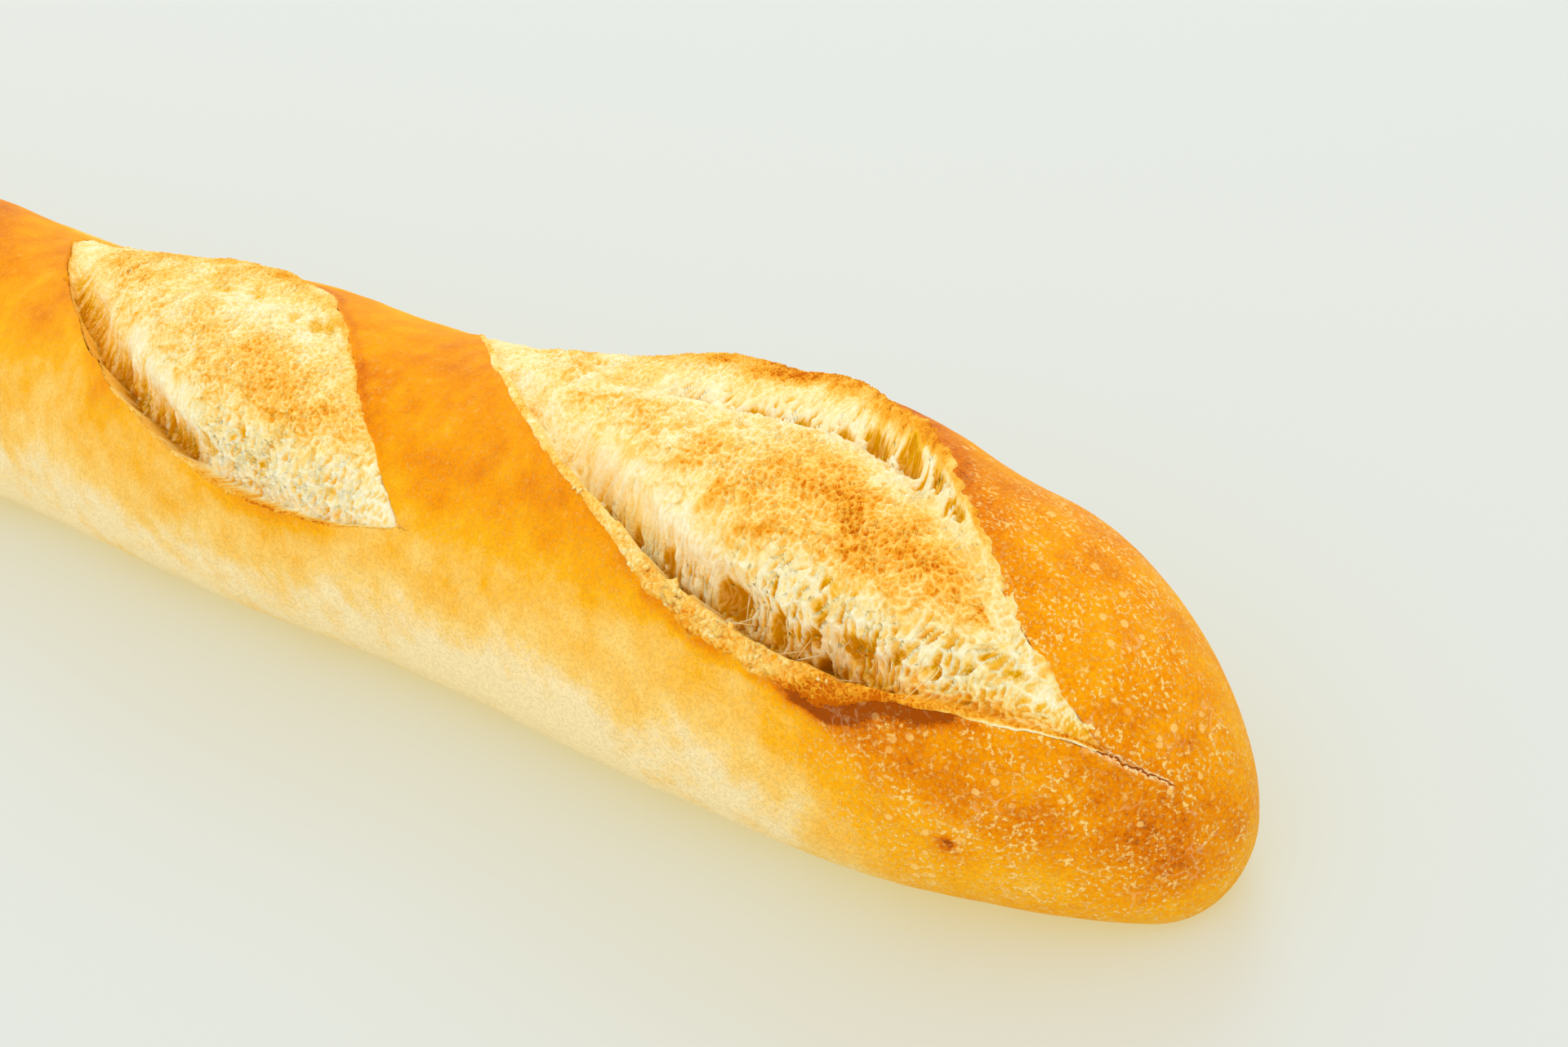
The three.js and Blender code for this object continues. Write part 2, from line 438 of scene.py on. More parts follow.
def lip_turn(inside, room):
    """How far down the crust has gone behind a lip, from 0 to 1, and its shift sideways."""
    wall = LIP_WALL * room
    down = np.clip(inside / wall, 0.0, 1.0)
    shift = -LIP_UNDERCUT * smooth(down, 0.1, 0.8) * room - np.minimum(inside, wall)
    shift = shift * (1 - smooth(inside, wall, LIP_RETURN * room))
    return smooth(down, 0.1, 1.0), np.where(inside > 0, shift, 0.0)


def lip_bake(opening, marks):
    """Extra browning beside an opening."""
    edge = -(marks.front + marks.front_lap)
    behind = -(marks.back + marks.back_lap)
    line = bell(edge - 0.4, 0.9) * marks.crumbly
    scorch = bell(edge, 1.8) * marks.browned * blend(0.15, 1.0, opening.lap)
    halo = bell(edge, 8.0) * blend(0.1, 1.0, marks.browned) * blend(0.4, 1.0, opening.lap)
    crest = bell(behind - 1.0, 2.6) * marks.ear * min(opening.ear / 5.0, 1.0)
    fold = (bell(behind - 0.7, 0.8) + 0.4 * bell(edge - 0.7, 1.2)) * (1 - opening.lap)
    return (0.24 * line + 0.72 * scorch + 0.15 * halo + 0.13 * fold) * marks.strength + 0.2 * crest


def tail_crack(marks, section, angle):
    """The crack that runs on beyond an opening in a heel: how far aside of it points lie."""
    reach = smooth(marks.along, *CRACK_FROM) * (1 - smooth(marks.along, *CRACK_TO))
    reach = reach * smooth(section.from_front, *CRACK_NEAR)
    reach = reach * (1 - smooth(section.from_front, *CRACK_FAR))
    aside = (angle - marks.middle) * PER_DEGREE * np.sqrt(section.fullness)
    return reach, np.clip(aside, -CRACK_AWAY, CRACK_AWAY)


def plain_bake(section, angle, flat):
    """How baked the crust is away from its openings, with its far side painted paler for the light from
    behind, and how much of it is heel.
    """
    x, y, z = np.moveaxis(flat, -1, 0)
    heel = 1 - smooth(section.from_front, *HEEL_FADE)
    far_heel = 1 - smooth(section.from_rear, *FAR_HEEL_FADE)
    ends = np.maximum(heel, far_heel)
    side = np.abs(angle) + 18.0 * cloud(x, y, z, 22.0, 4, 41) - 48.0 * ends
    shaded = sum(strength * smooth(side, low, high) for low, high, strength in SHADED_BANDS)
    bake_and_backlight = PLAIN_BAKE - shaded * (1 - 0.7 * ends) - 0.02 * ends
    # Painted light: the far side of the crust is paler, in place of the light from behind that brightens
    # it
    bake_and_backlight -= 0.06 * smooth(-angle, 2.0, 40.0)
    bake_and_backlight += UNDERSIDE_BAKE * smooth(np.abs(angle), *UNDERSIDE_BAND) * (1 - 0.8 * ends)
    bake_and_backlight += 0.10 * cloud(x, y, z, 26.0, 2, 31) + 0.13 * cloud(x, y, z, 6.0, 3, 37)
    for from_front, around, size, strength in SCORCH_SPOTS:
        spot = place(section_at(np.array([LENGTH / 2 - from_front])), np.array([around]), 0.0)
        bake_and_backlight += strength * bell(np.linalg.norm(flat - spot, axis=-1), size)
    return bake_and_backlight, ends


def crust_skin(x, angle):
    """The crust's points, with the marks that its finish reads."""
    section = section_at(x)
    flat = place(section, angle, 0.0)
    lift = skin_wave(flat, section.fullness)
    turn = np.zeros_like(x)
    bake_and_backlight, ends = plain_bake(section, angle, flat)
    crack = np.full_like(x, CRACK_AWAY)
    crack_reach = np.zeros_like(x)
    chips = np.maximum(cloud(*np.moveaxis(flat, -1, 0), 2.4, 3, 47), 0.0)
    for opening in OPENINGS:
        marks = torn_lips(opening, section, angle, flat)
        front_rise, back_rise = lip_heights(opening, section, marks)
        front_down, front_shift = lip_turn(marks.front, marks.room)
        back_down, back_shift = lip_turn(marks.back, marks.room)
        depth = (opening.groove + FLOOR_BELOW_GROOVE) * marks.room * marks.full
        inside = front_rise * (1 - front_down) + back_rise * (1 - back_down)
        inside -= depth * front_down * back_down
        outside = np.where(marks.front < 0, front_rise, 0.0) + np.where(marks.back < 0, back_rise, 0.0)
        open_here = (marks.front > 0) & (marks.back > 0)
        relief = np.where(open_here, inside, outside)
        edge = -(marks.front + marks.front_lap)
        relief -= 0.5 * bell(edge - 4.5, 2.6) * marks.full * marks.browned
        relief += 0.35 * chips * bell(edge, 2.0) * marks.full
        lift += np.where(marks.within, relief, 0.0)
        turn += np.where(marks.within & open_here, back_shift - front_shift, 0.0)
        bake_and_backlight += np.where(marks.within, lip_bake(opening, marks), 0.0)
        reach, aside = tail_crack(marks, section, angle)
        crack = np.where(reach > crack_reach, aside, crack)
        crack_reach = np.maximum(crack_reach, reach)
        lift += reach * (0.35 * bell(np.abs(aside) - 1.2, 0.8) - 0.35 * bell(aside, 0.5))
    points = place(section, angle + turn / PER_DEGREE, lift)
    marks = {"bake_and_backlight": bake_and_backlight, "heel": ends, "crack": crack, "crack_reach": crack_reach}
    return SimpleNamespace(points=points, marks=marks)


def row_density(from_front, angle):
    """How closely the crust's rows lie: close along the lips, wide under the loaf."""
    density = np.where(np.abs(angle) > UNDERSIDE_ANGLE, UNDERSIDE_DENSITY, 1.0)
    for opening in OPENINGS:
        along = (opening.start - from_front) / opening.length
        if 0 < along < 1:
            front, back = front_lip(opening, along), back_lip(opening, along)
            hidden = (angle > back + HIDDEN_MARGINS[0]) & (angle < front - HIDDEN_MARGINS[1])
            density = np.where(hidden, HIDDEN_DENSITY, density)
            close = bell(angle - front - 4.0, LIP_SPREAD) + bell(angle - back + 1.0, LIP_SPREAD)
            density = density + LIP_DENSITY * math.sin(math.pi * along) ** 0.5 * close
    return density


def crust_rows(x, count):
    """The angles of the rows at one station, from one side of the seam to the other."""
    edges = np.linspace(-180.0, 180.0, ROW_SAMPLES + 1)
    middles = (edges[1:] + edges[:-1]) / 2
    totals = np.concatenate([[0.0], np.cumsum(row_density(LENGTH / 2 - x, middles))])
    return np.interp(np.arange(count) / count * totals[-1], totals, edges)


def crust_stations(count):
    """x of each station: close together at the tips and over the front of the loaf."""
    x = np.linspace(-LENGTH / 2, LENGTH / 2, STATION_SAMPLES)
    from_front, from_rear = LENGTH / 2 - x, LENGTH / 2 + x
    fine = 1 - smooth(from_front, FINE_REACH, FINE_REACH + FINE_FADE)
    density = 1.0 + (FINE_DENSITY - 1.0) * fine
    for extra, spread in TIP_DENSITIES:
        density = density + extra * (bell(from_front, spread) + bell(from_rear, spread))
    totals = np.concatenate([[0.0], np.cumsum((density[1:] + density[:-1]) / 2)])
    return np.interp(np.arange(count + 1) / count * totals[-1], totals, x)


def write_points(bm, points, marks):
    """Puts a bmesh's vertices in place, in metres, and gives them the finish's marks."""
    for vertex, point in zip(bm.verts, (points * MM).tolist()):
        vertex.co = point
    for name, values in marks.items():
        layer = bm.verts.layers.float.new(name)
        for vertex, value in zip(bm.verts, values.tolist()):
            vertex[layer] = value


def finish_piece(bm, name, material):
    """Turns a bmesh into a smooth, closed piece that rides on the loaf's body."""
    if bm.calc_volume(signed=True) < 0:
        bmesh.ops.reverse_faces(bm, faces=bm.faces)
    for face in bm.faces:
        face.smooth = True
    mesh = bpy.data.meshes.new(name)
    bm.to_mesh(mesh)
    bm.free()
    mesh.materials.append(material)
    piece = bpy.data.objects.new(name, mesh)
    bpy.context.scene.collection.objects.link(piece)
    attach(piece, "root")
    return piece


def ball_level(height, levels):
    """Which ring of a ball of radius 1 each point lies in, counted from its top."""
    return np.rint(np.arccos(np.clip(height, -1, 1)) / math.pi * levels).astype(int)


def bake_crust():
    """A closed ball whose rings become the loaf's sections, from the rear tip to the front one."""
    bm = bmesh.new()
    bmesh.ops.create_uvsphere(
        bm, u_segments=CRUST_ROWS, v_segments=CRUST_STATIONS, radius=BALL_RADIUS
    )
    globe = np.array([vertex.co for vertex in bm.verts])
    globe /= np.linalg.norm(globe, axis=1)[:, None]
    station = ball_level(globe[:, 2], CRUST_STATIONS)
    # The ball's points lie half a row on from its rows' starts, so they are rounded down
    turn = np.arctan2(globe[:, 1], globe[:, 0]) / (2 * math.pi) % 1.0
    row = np.floor(turn * CRUST_ROWS).astype(int) % CRUST_ROWS
    stations = crust_stations(CRUST_STATIONS)
    rows = np.stack([crust_rows(x, CRUST_ROWS) for x in stations])
    skin = crust_skin(stations[station], rows[station, row])
    write_points(bm, skin.points, skin.marks)
    return bm


# ---------------------------------------------------------------- the crumb

# The sheets of crumb: their grids, how far a hem goes down, and how lines crowd at the near lip
CRUMB_GRIDS = ((560, 170), (460, 136), (360, 110), (360, 110), (360, 110))
CRUMB_HEM = 12.0
HEM_SHARE = 0.6
LIP_CROWDING = 1.25

# The crumb's form: how far it draws back under the near lip, how much its fibres lean, and
# where the valley before the ear runs, inside the back lip
CRUMB_TUCK = 2.6
SLANT = 0.4
VALLEY_OFFSETS = (13.5, 0.9)
VALLEY_TURN = (0.40, 0.76)
FULL_EAR = 4.0

# The sizes of the crumb's cells: on top, in the groove and along the crumbly lip
MOSS_CELL = 1.3
WEB_CELL = 1.25
WEB_STRETCH = 1.9
CLOD_CELL = 1.15

# Holes that the tear opened: along the opening, inside a lip, half width, half height, depth
GROOVE_HOLES = (
    (0.405, 2.6, 1.2, 1.2, 1.0), (0.449, 2.8, 1.0, 1.2, 0.9), (0.507, 3.0, 1.6, 1.2, 1.2),
    (0.592, 3.6, 3.0, 1.8, 2.4), (0.655, 3.2, 1.3, 1.5, 2.0), (0.691, 4.2, 0.8, 1.0, 2.0),
    (0.695, 1.9, 0.9, 0.9, 2.2), (0.735, 5.0, 2.8, 1.4, 1.7), (0.780, 5.4, 1.2, 1.0, 1.4),
    (0.815, 5.0, 1.7, 1.0, 1.5), (0.845, 6.0, 1.0, 1.3, 1.2), (0.879, 7.0, 1.7, 1.1, 1.2),
)
EAR_HOLES = (
    (0.405, 13.4, 3.0, 1.2, 1.0), (0.450, 12.9, 1.8, 1.0, 0.9), (0.485, 12.0, 3.8, 1.7, 1.7),
    (0.538, 9.8, 2.6, 1.4, 1.6), (0.588, 7.0, 2.8, 1.5, 1.6), (0.629, 4.3, 3.4, 1.6, 1.9),
    (0.678, 2.3, 3.2, 1.4, 1.9), (0.730, 1.3, 2.2, 1.1, 1.5), (0.775, 0.9, 1.6, 0.9, 1.2),
)


def torn_holes(index, run, inside, length, table, seed):
    """How deep each point lies in the holes of a table, which stray in all but the first tear."""
    depth = np.zeros_like(run)
    ragged = 0.25 * cloud(run, inside, np.zeros_like(run), 1.6, 2, seed)
    stray = draws(len(table), seed + 5, -0.03, 0.03) if index else np.zeros(len(table))
    for (along, within, wide, high, deep), moved in zip(table, stray):
        across = inside - within
        beside = run - (along + moved) * length - SLANT * across
        away = np.hypot(beside / wide, across / high) + ragged
        depth = np.maximum(depth, deep * (1 - smooth(away, 0.45, 1.15)))
    return depth


def crumb_zones(opening, marks):
    """Where the crumb is stretched into fibres, torn to a web or sunk in a valley under the ear."""
    inside_front = np.maximum(marks.front, 0.0)
    inside_back = np.maximum(marks.back, 0.0)
    offset = blend(*VALLEY_OFFSETS, smooth(marks.along, *VALLEY_TURN)) * marks.room
    web = smooth(marks.along, 0.52, 0.66) * (1 - smooth(inside_front, 7.5, 14.5))
    web = np.maximum(web, smooth(marks.along, 0.82, 0.9))
    web = np.maximum(web, bell(inside_front - 2.4, 2.0) * smooth(marks.along, 0.3, 0.4))
    fibres = bell(np.maximum(inside_front - 5.0, 0.0), 5.5) * (1 - 0.7 * web)
    fibres = fibres * blend(0.35, 1.0, smooth(marks.along, 0.28, 0.42))
    valley = bell(inside_back - offset, 3.4) * marks.ear * min(opening.ear / FULL_EAR, 1.0)
    open_web = np.maximum(web, valley)
    torn = np.clip(np.maximum(fibres, open_web), 0, 1)
    return SimpleNamespace(
        inside_front=inside_front,
        inside_back=inside_back,
        offset=offset,
        folded=bell(inside_front - 11.0, 5.5),
        web=web,
        fibres=fibres,
        open_web=open_web,
        torn=torn,
        crown=1 - torn,
    )


def crumb_body(opening, marks, zones, run, reach, seed):
    """The crumb's broad shape: dome, groove, valley and the slope up to the ear."""
    zero = np.zeros_like(run)
    room = marks.room
    slope = zones.inside_front + 1.4 * cloud(run, reach, zero, 10.0, 2, seed + 1) * room
    flank = smooth(slope, 2.0 * room, 13.0 * room) + smooth(slope, 1.4 * room, 6.5 * room)
    deep = smooth(marks.along, opening.deep_from - 0.07, opening.deep_from + 0.07)
    shallow = smooth(marks.along, opening.deep_to - 0.08, opening.deep_to + 0.08)
    dig = blend(0.35, 1.0, deep) * blend(1.0, 0.45, shallow)
    dig = dig * (1 + 0.25 * cloud(run, zero, zero, 14.0, 2, seed + 2))
    share = zones.inside_back / np.maximum(zones.inside_front + zones.inside_back, 0.1)
    dome = opening.dome * np.sqrt(4 * share * (1 - share))
    trough = opening.valley * bell(zones.inside_back - zones.offset, 3.2 * room) * marks.ear
    body = dome - (opening.groove + 1.0) * dig * (1 - flank / 2) - trough
    slope_width = np.maximum(0.55 * zones.offset, 1.6)
    ear = opening.ear * marks.ear * bell(np.maximum(zones.inside_back - 0.8, 0.0), slope_width)
    return body * marks.strength * room + ear, dig


def crumb_grain(zones, run, reach, seed):
    """The crumb's textures: ridges, pits and threads from 0 to 1, and clouds about 0."""
    zero = np.zeros_like(run)
    sway = 1.6 * cloud(run, reach, zero, 9.0, 2, seed + 3)
    warp_x = run + sway + 0.5 * cloud(run, reach, zero, 2.6, 1, seed + 4)
    warp_y = reach + 0.6 * cloud(run, reach, zero, 2.6, 1, seed + 5)
    pull = warp_x - SLANT * zones.inside_front
    moss_edge, moss_draw = cells(warp_x, warp_y, MOSS_CELL, seed + 7)
    web_edge, web_draw = cells(pull, warp_y / WEB_STRETCH, WEB_CELL, seed + 11)
    clod_edge, clod_draw = cells(warp_x, warp_y, CLOD_CELL, seed + 15)
    return SimpleNamespace(
        pull=pull,
        threads=(1 - np.abs(noise(pull / 0.8, reach / 6.5, zero, seed + 6))) ** 3,
        bundles=(1 - np.abs(noise(pull / 2.6, reach / 9.0, zero, seed + 8))) ** 2,
        folds=(1 - np.abs(noise(pull / 3.0, warp_y / 2.3, zero, seed + 9))) ** 7,
        moss_ridge=1 - smooth(moss_edge, 0.0, 0.4),
        moss_pit=smooth(moss_edge, 0.05, 0.55) * moss_draw,
        web_ridge=1 - smooth(web_edge, 0.0, 0.3),
        web_pit=smooth(web_edge, 0.05, 0.6) * blend(0.2, 1.0, web_draw),
        clods=smooth(clod_edge, 0.0, 0.5) * blend(0.3, 1.0, clod_draw),
        fine=cloud(run, reach / 1.2, zero, 1.2, 3, seed + 19),
        blotch=cloud(run, reach, zero, 4.2, 2, seed + 25),
        patches=cloud(run, reach * 1.2, zero, 13.0, 3, seed + 23),
    )


def crumb_toast(opening, marks, zones, grain, front_cover, back_cover, rough):
    """How toasted the crumb is, from 0, white, to 1, scorched."""
    along = marks.along
    centre = bell(along - 0.73, 0.12) * bell(zones.inside_front - 18.5 * marks.room, 7.5)
    centre = centre * blend(0.22, 0.40, opening.lap)
    toast_and_shade = zones.crown * (0.50 + 0.15 * grain.patches + 0.18 * grain.blotch + centre)
    toast_and_shade -= zones.crown * 0.14 * bell(zones.inside_back - zones.offset - 4.5, 4.0) * marks.ear
    toast_and_shade += zones.crown * (0.08 * grain.moss_pit - 0.20 * grain.moss_ridge)
    toast_and_shade += zones.torn * (0.10 + 0.14 * grain.blotch) + 0.08 * zones.web
    toast_and_shade += 0.22 * (1 - smooth(along, 0.26, 0.42)) * zones.torn
    toast_and_shade += 0.34 * grain.folds * zones.folded
    toast_and_shade -= 0.14 * grain.web_ridge * zones.web + 0.12 * grain.threads * zones.fibres
    shelf = bell(zones.inside_front - 1.5, 2.8) * smooth(along, 0.68, 0.78)
    toast_and_shade += opening.shelf * shelf
    crest = 1 - smooth(zones.inside_back / np.maximum(zones.offset, 0.5), 0.38, 0.66)
    crest_tone = 0.70 + 0.40 * grain.blotch + 0.25 * rough + 0.16 * bell(zones.inside_back, 1.0)
    toast_and_shade = blend(toast_and_shade, crest_tone, crest * marks.ear * min(opening.ear / 2.5, 1.0))
    late = smooth(along, 0.82, 0.9)
    plain_tone = blend(0.74, 0.52 + opening.shelf * late, opening.lap)
    lip_tone = blend(blend(plain_tone, 0.54, marks.crumbly), 0.94, marks.browned)
    from_border = marks.front + marks.front_lap
    border = 1 - smooth(from_border, 0.2, 1.2)
    lip_tone = lip_tone + 0.24 * border * marks.crumbly - 0.3 * rough + 0.2 * grain.blotch
    toast_and_shade = blend(toast_and_shade, lip_tone, front_cover)
    toast_and_shade = blend(toast_and_shade, 0.08, late * opening.lap * (1 - smooth(from_border, 0.3, 0.8)))
    heel_edge = back_cover * (1 - np.clip(marks.ear * opening.ear / 3.0, 0, 1)) * opening.lap
    return blend(toast_and_shade, 0.22 + 0.3 * rough, heel_edge)


def sheet_edges(opening, along):
    """The angles that a sheet of crumb reaches to, past the front lip and past the back one."""
    front_edge = front_lip(opening, along) + LAP_ROOM[0] / PER_DEGREE
    back_edge = back_lip(opening, along) - LAP_ROOM[1] / PER_DEGREE
    return front_edge, back_edge


def crumb_texture(opening, marks, zones, grain):
    """The relief of moss, fibres and web, before the holes."""
    fine = grain.fine
    texture = zones.crown * (0.28 * grain.moss_ridge - 0.45 * grain.moss_pit + 0.22 * fine)
    texture += zones.fibres * (0.34 * grain.threads + 0.5 * grain.bundles + 0.10 * fine)
    texture += zones.open_web * (0.5 * grain.web_ridge - 1.0 * grain.web_pit + 0.15 * fine)
    texture += 0.6 * grain.folds * zones.folded
    rubble = bell(zones.inside_front - marks.band - 1.4, 1.8) * smooth(marks.along, 0.36, 0.42)
    return texture + 1.1 * rubble * (grain.clods - 0.45) * opening.lap


def crumb_holes(opening, index, run, marks, zones, grain, dig, seed):
    """The depth of the holes in the groove and under the ear, which threads bridge."""
    groove = torn_holes(index, run, zones.inside_front, opening.length, GROOVE_HOLES, seed + 27)
    ear = torn_holes(index, run, zones.inside_back, opening.length, EAR_HOLES, seed + 31)
    groove = groove * blend(0.4, 1.0, opening.lap) * dig
    holes = np.maximum(groove, ear * marks.ear * min(opening.ear / FULL_EAR, 1.0))
    return holes * (1 - 0.7 * smooth(grain.threads, 0.72, 0.95))


def crumb_hole_shade(opening, marks, zones, grain, texture, holes, dig):
    """How much of a point's tone is painted shade, that of a hole, a pit or the groove, from 0 to 1."""
    late = smooth(marks.along, 0.76, 0.88)
    torn_share = (1 - 0.5 * late) * blend(0.4, 1.0, opening.lap)
    pit = 0.7 * torn_share * grain.web_pit * zones.open_web + 0.1 * grain.moss_pit * zones.crown
    pit += 0.3 * (1 - grain.bundles) * (1 - grain.threads) * zones.fibres
    pit += 0.5 * torn_share * smooth(-texture, 0.1, 0.8) * smooth(zones.torn, 0.0, 0.5)
    groove = bell(zones.inside_front - marks.band - 1.3, blend(3.2, 2.0, opening.lap))
    groove = groove * (1 - 0.7 * grain.threads)
    groove = groove * blend(1.1, 0.1 + 0.5 * smooth(marks.along, 0.52, 0.62), opening.lap)
    pit += groove * smooth(dig, 0.45, 0.85)
    return np.clip(np.clip(holes, 0, 1) * 0.9 + pit, 0, 1)


def crumb_skin(opening, index, along, across):
    """The torn crumb of one opening. across runs from 0 outside the front lip to 1 at the ear."""
    section = section_at(LENGTH / 2 - opening.start + along * opening.length)
    angle = blend(*sheet_edges(opening, along), across**LIP_CROWDING)
    flat = place(section, angle, 0.0)
    marks = torn_lips(opening, section, angle, flat)
    zones = crumb_zones(opening, marks)
    run, reach = along * opening.length, angle * PER_DEGREE
    seed = 100 + 40 * index
    room = marks.room
    grain = crumb_grain(zones, run, reach, seed)
    body, dig = crumb_body(opening, marks, zones, run, reach, seed)
    lumps = cloud(run, reach * 0.7, np.zeros_like(run), 12.0, 2, seed + 21)
    texture = crumb_texture(opening, marks, zones, grain)
    holes = crumb_holes(opening, index, run, marks, zones, grain, dig, seed)
    fade = np.clip(room * 1.3, 0, 1)
    inner = (body + (0.7 * lumps * room + texture - holes * room) * fade) * section.fullness

    front_rise, back_rise = lip_heights(opening, section, marks)
    rough = 0.5 * grain.clods + 0.4 * grain.fine
    lap_rise = LAP_LIFT + rough * blend(0.4, 1.5, marks.crumbly)
    cover_width = blend(0.7, 1.1, opening.lap) * room
    front_cover = 1 - smooth(marks.front, marks.band, marks.band + cover_width)
    back_cover = 1 - smooth(marks.back, 0.1, 0.1 + 0.9 * room)
    lift = blend(inner, front_rise + lap_rise * blend(0.4, 1.0, marks.strength), front_cover)
    lift = blend(lift, back_rise + LAP_LIFT + 0.6 * rough, back_cover)
    inside_lap = np.minimum(marks.front + marks.front_lap, marks.back + marks.back_lap)
    held = smooth(inside_lap, -0.3, 0.3)
    held = held * smooth(along, 0.002, 0.015) * (1 - smooth(along, *TAIL))
    lift = lift + skin_wave(flat, section.fullness) - LAP_DIVE * (1 - held)
    tuck = (1 - front_cover) * (1 - smooth(zones.inside_front - marks.band, 1.2, 4.2))
    tuck = CRUMB_TUCK * tuck * smooth(dig, 0.3, 0.9) * marks.full * room

    toast_and_shade = crumb_toast(opening, marks, zones, grain, front_cover, back_cover, rough)
    # Painted shade: the low places of the web are toned darker, in place of the shade that falls in them
    toast_and_shade += 0.3 * smooth(-texture, -0.1, 0.6) * zones.web * (1 - front_cover)
    toast_and_shade -= 0.12 * bell(zones.inside_front - 3.0, 3.0) * (1 - front_cover)
    # Painted shade in the crumb's holes, pits and groove, as a mark that its finish reads
    hole_shade = crumb_hole_shade(opening, marks, zones, grain, texture, holes, dig)
    return SimpleNamespace(
        section=section,
        points=place(section, angle + tuck / PER_DEGREE, lift),
        marks={
            "toast_and_shade": toast_and_shade,
            "hole_shade": hole_shade * (1 - front_cover) * (1 - back_cover),
            "torn": zones.torn * (1 - front_cover),
            "run": grain.pull,
            "reach": reach,
        },
    )


def bake_crumb(opening, index):
    """A closed sheet: a grid laid over the tear, with its hem turned down and filled."""
    columns, lines = CRUMB_GRIDS[index]
    bm = bmesh.new()
    bmesh.ops.create_grid(bm, x_segments=columns, y_segments=lines, size=1.0)
    rim = [edge for edge in bm.edges if edge.is_boundary]
    hem = bmesh.ops.extrude_edge_only(bm, edges=rim)["geom"]
    hem_edges = [item for item in hem if isinstance(item, bmesh.types.BMEdge) and item.is_boundary]
    bm.verts.index_update()
    turned_down = {item.index for item in hem if isinstance(item, bmesh.types.BMVert)}
    bmesh.ops.holes_fill(bm, edges=hem_edges, sides=0)
    flat = np.array([vertex.co for vertex in bm.verts])
    skin = crumb_skin(opening, index, (flat[:, 0] + 1) / 2, (flat[:, 1] + 1) / 2)
    lowered = np.zeros((len(flat), 1))
    lowered[list(turned_down)] = CRUMB_HEM
    outward, distance = outward_from(skin.section, skin.points)
    points = skin.points - outward * np.minimum(lowered, HEM_SHARE * distance)
    write_points(bm, points, skin.marks)
    bmesh.ops.recalc_face_normals(bm, faces=bm.faces)
    return bm


def crumb_surface(opening, index, along, inside):
    """Points of the crumb at a distance inside the front lip, and the way out from there."""
    steepness = lip_steepness(front_lip, opening, along)
    angle = front_lip(opening, along) - inside * steepness / PER_DEGREE
    front_edge, back_edge = sheet_edges(opening, along)
    share = np.clip((front_edge - angle) / (front_edge - back_edge), 0.0, 1.0)
    skin = crumb_skin(opening, index, along, share ** (1 / LIP_CROWDING))
    return skin.points, outward_from(skin.section, skin.points)[0]


def loose_marks(points, tone):
    """The marks of loose bits of crumb, which have no holes."""
    none = np.zeros(len(points))
    return {"toast_and_shade": tone, "hole_shade": none, "torn": none, "run": points[:, 0], "reach": points[:, 1]}


# Where flakes stick together: along the lip, inside it, how many, and the size of the largest
FLAKE_CLUSTERS = (
    (0.556, -0.5, 12, 1.3), (0.622, -0.2, 5, 1.0), (0.40, -0.3, 5, 0.8), (0.665, -0.3, 6, 0.6),
)
CLUSTERS_FROM_LAP = 0.5
LOOSE_ALONG = (0.36, 0.86)
LOOSE_INSIDE = (-2.2, 0.2)
FLAKE_SHAPE = (1.0, 0.75, 0.45)


def flake_places(look):
    """The point where each flake lies, the way out from there, and its size."""
    places = []
    for index, opening in enumerate(OPENINGS):
        seed = 900 + 30 * index
        loose = round(look.flakes * opening.lap)
        along = draws(loose, seed, *LOOSE_ALONG)
        inside = draws(loose, seed + 1, *LOOSE_INSIDE)
        size = blend(0.25, 0.6, draws(loose, seed + 2) ** 2)
        clusters = FLAKE_CLUSTERS if opening.lap > CLUSTERS_FROM_LAP else ()
        for middle, within, count, largest in clusters:
            shift = draws(1, seed + 3, -0.06, 0.06)[0] if index else 0.0
            along = np.append(along, middle + shift + draws(count, seed + 4, -0.012, 0.012))
            inside = np.append(inside, within + draws(count, seed + 5, -0.8, 0.6))
            size = np.append(size, largest * draws(count, seed + 6, 0.45, 1.0))
        points, outward = crumb_surface(opening, index, along, inside)
        places.append(np.column_stack([points, outward, size]))
    return np.concatenate(places)


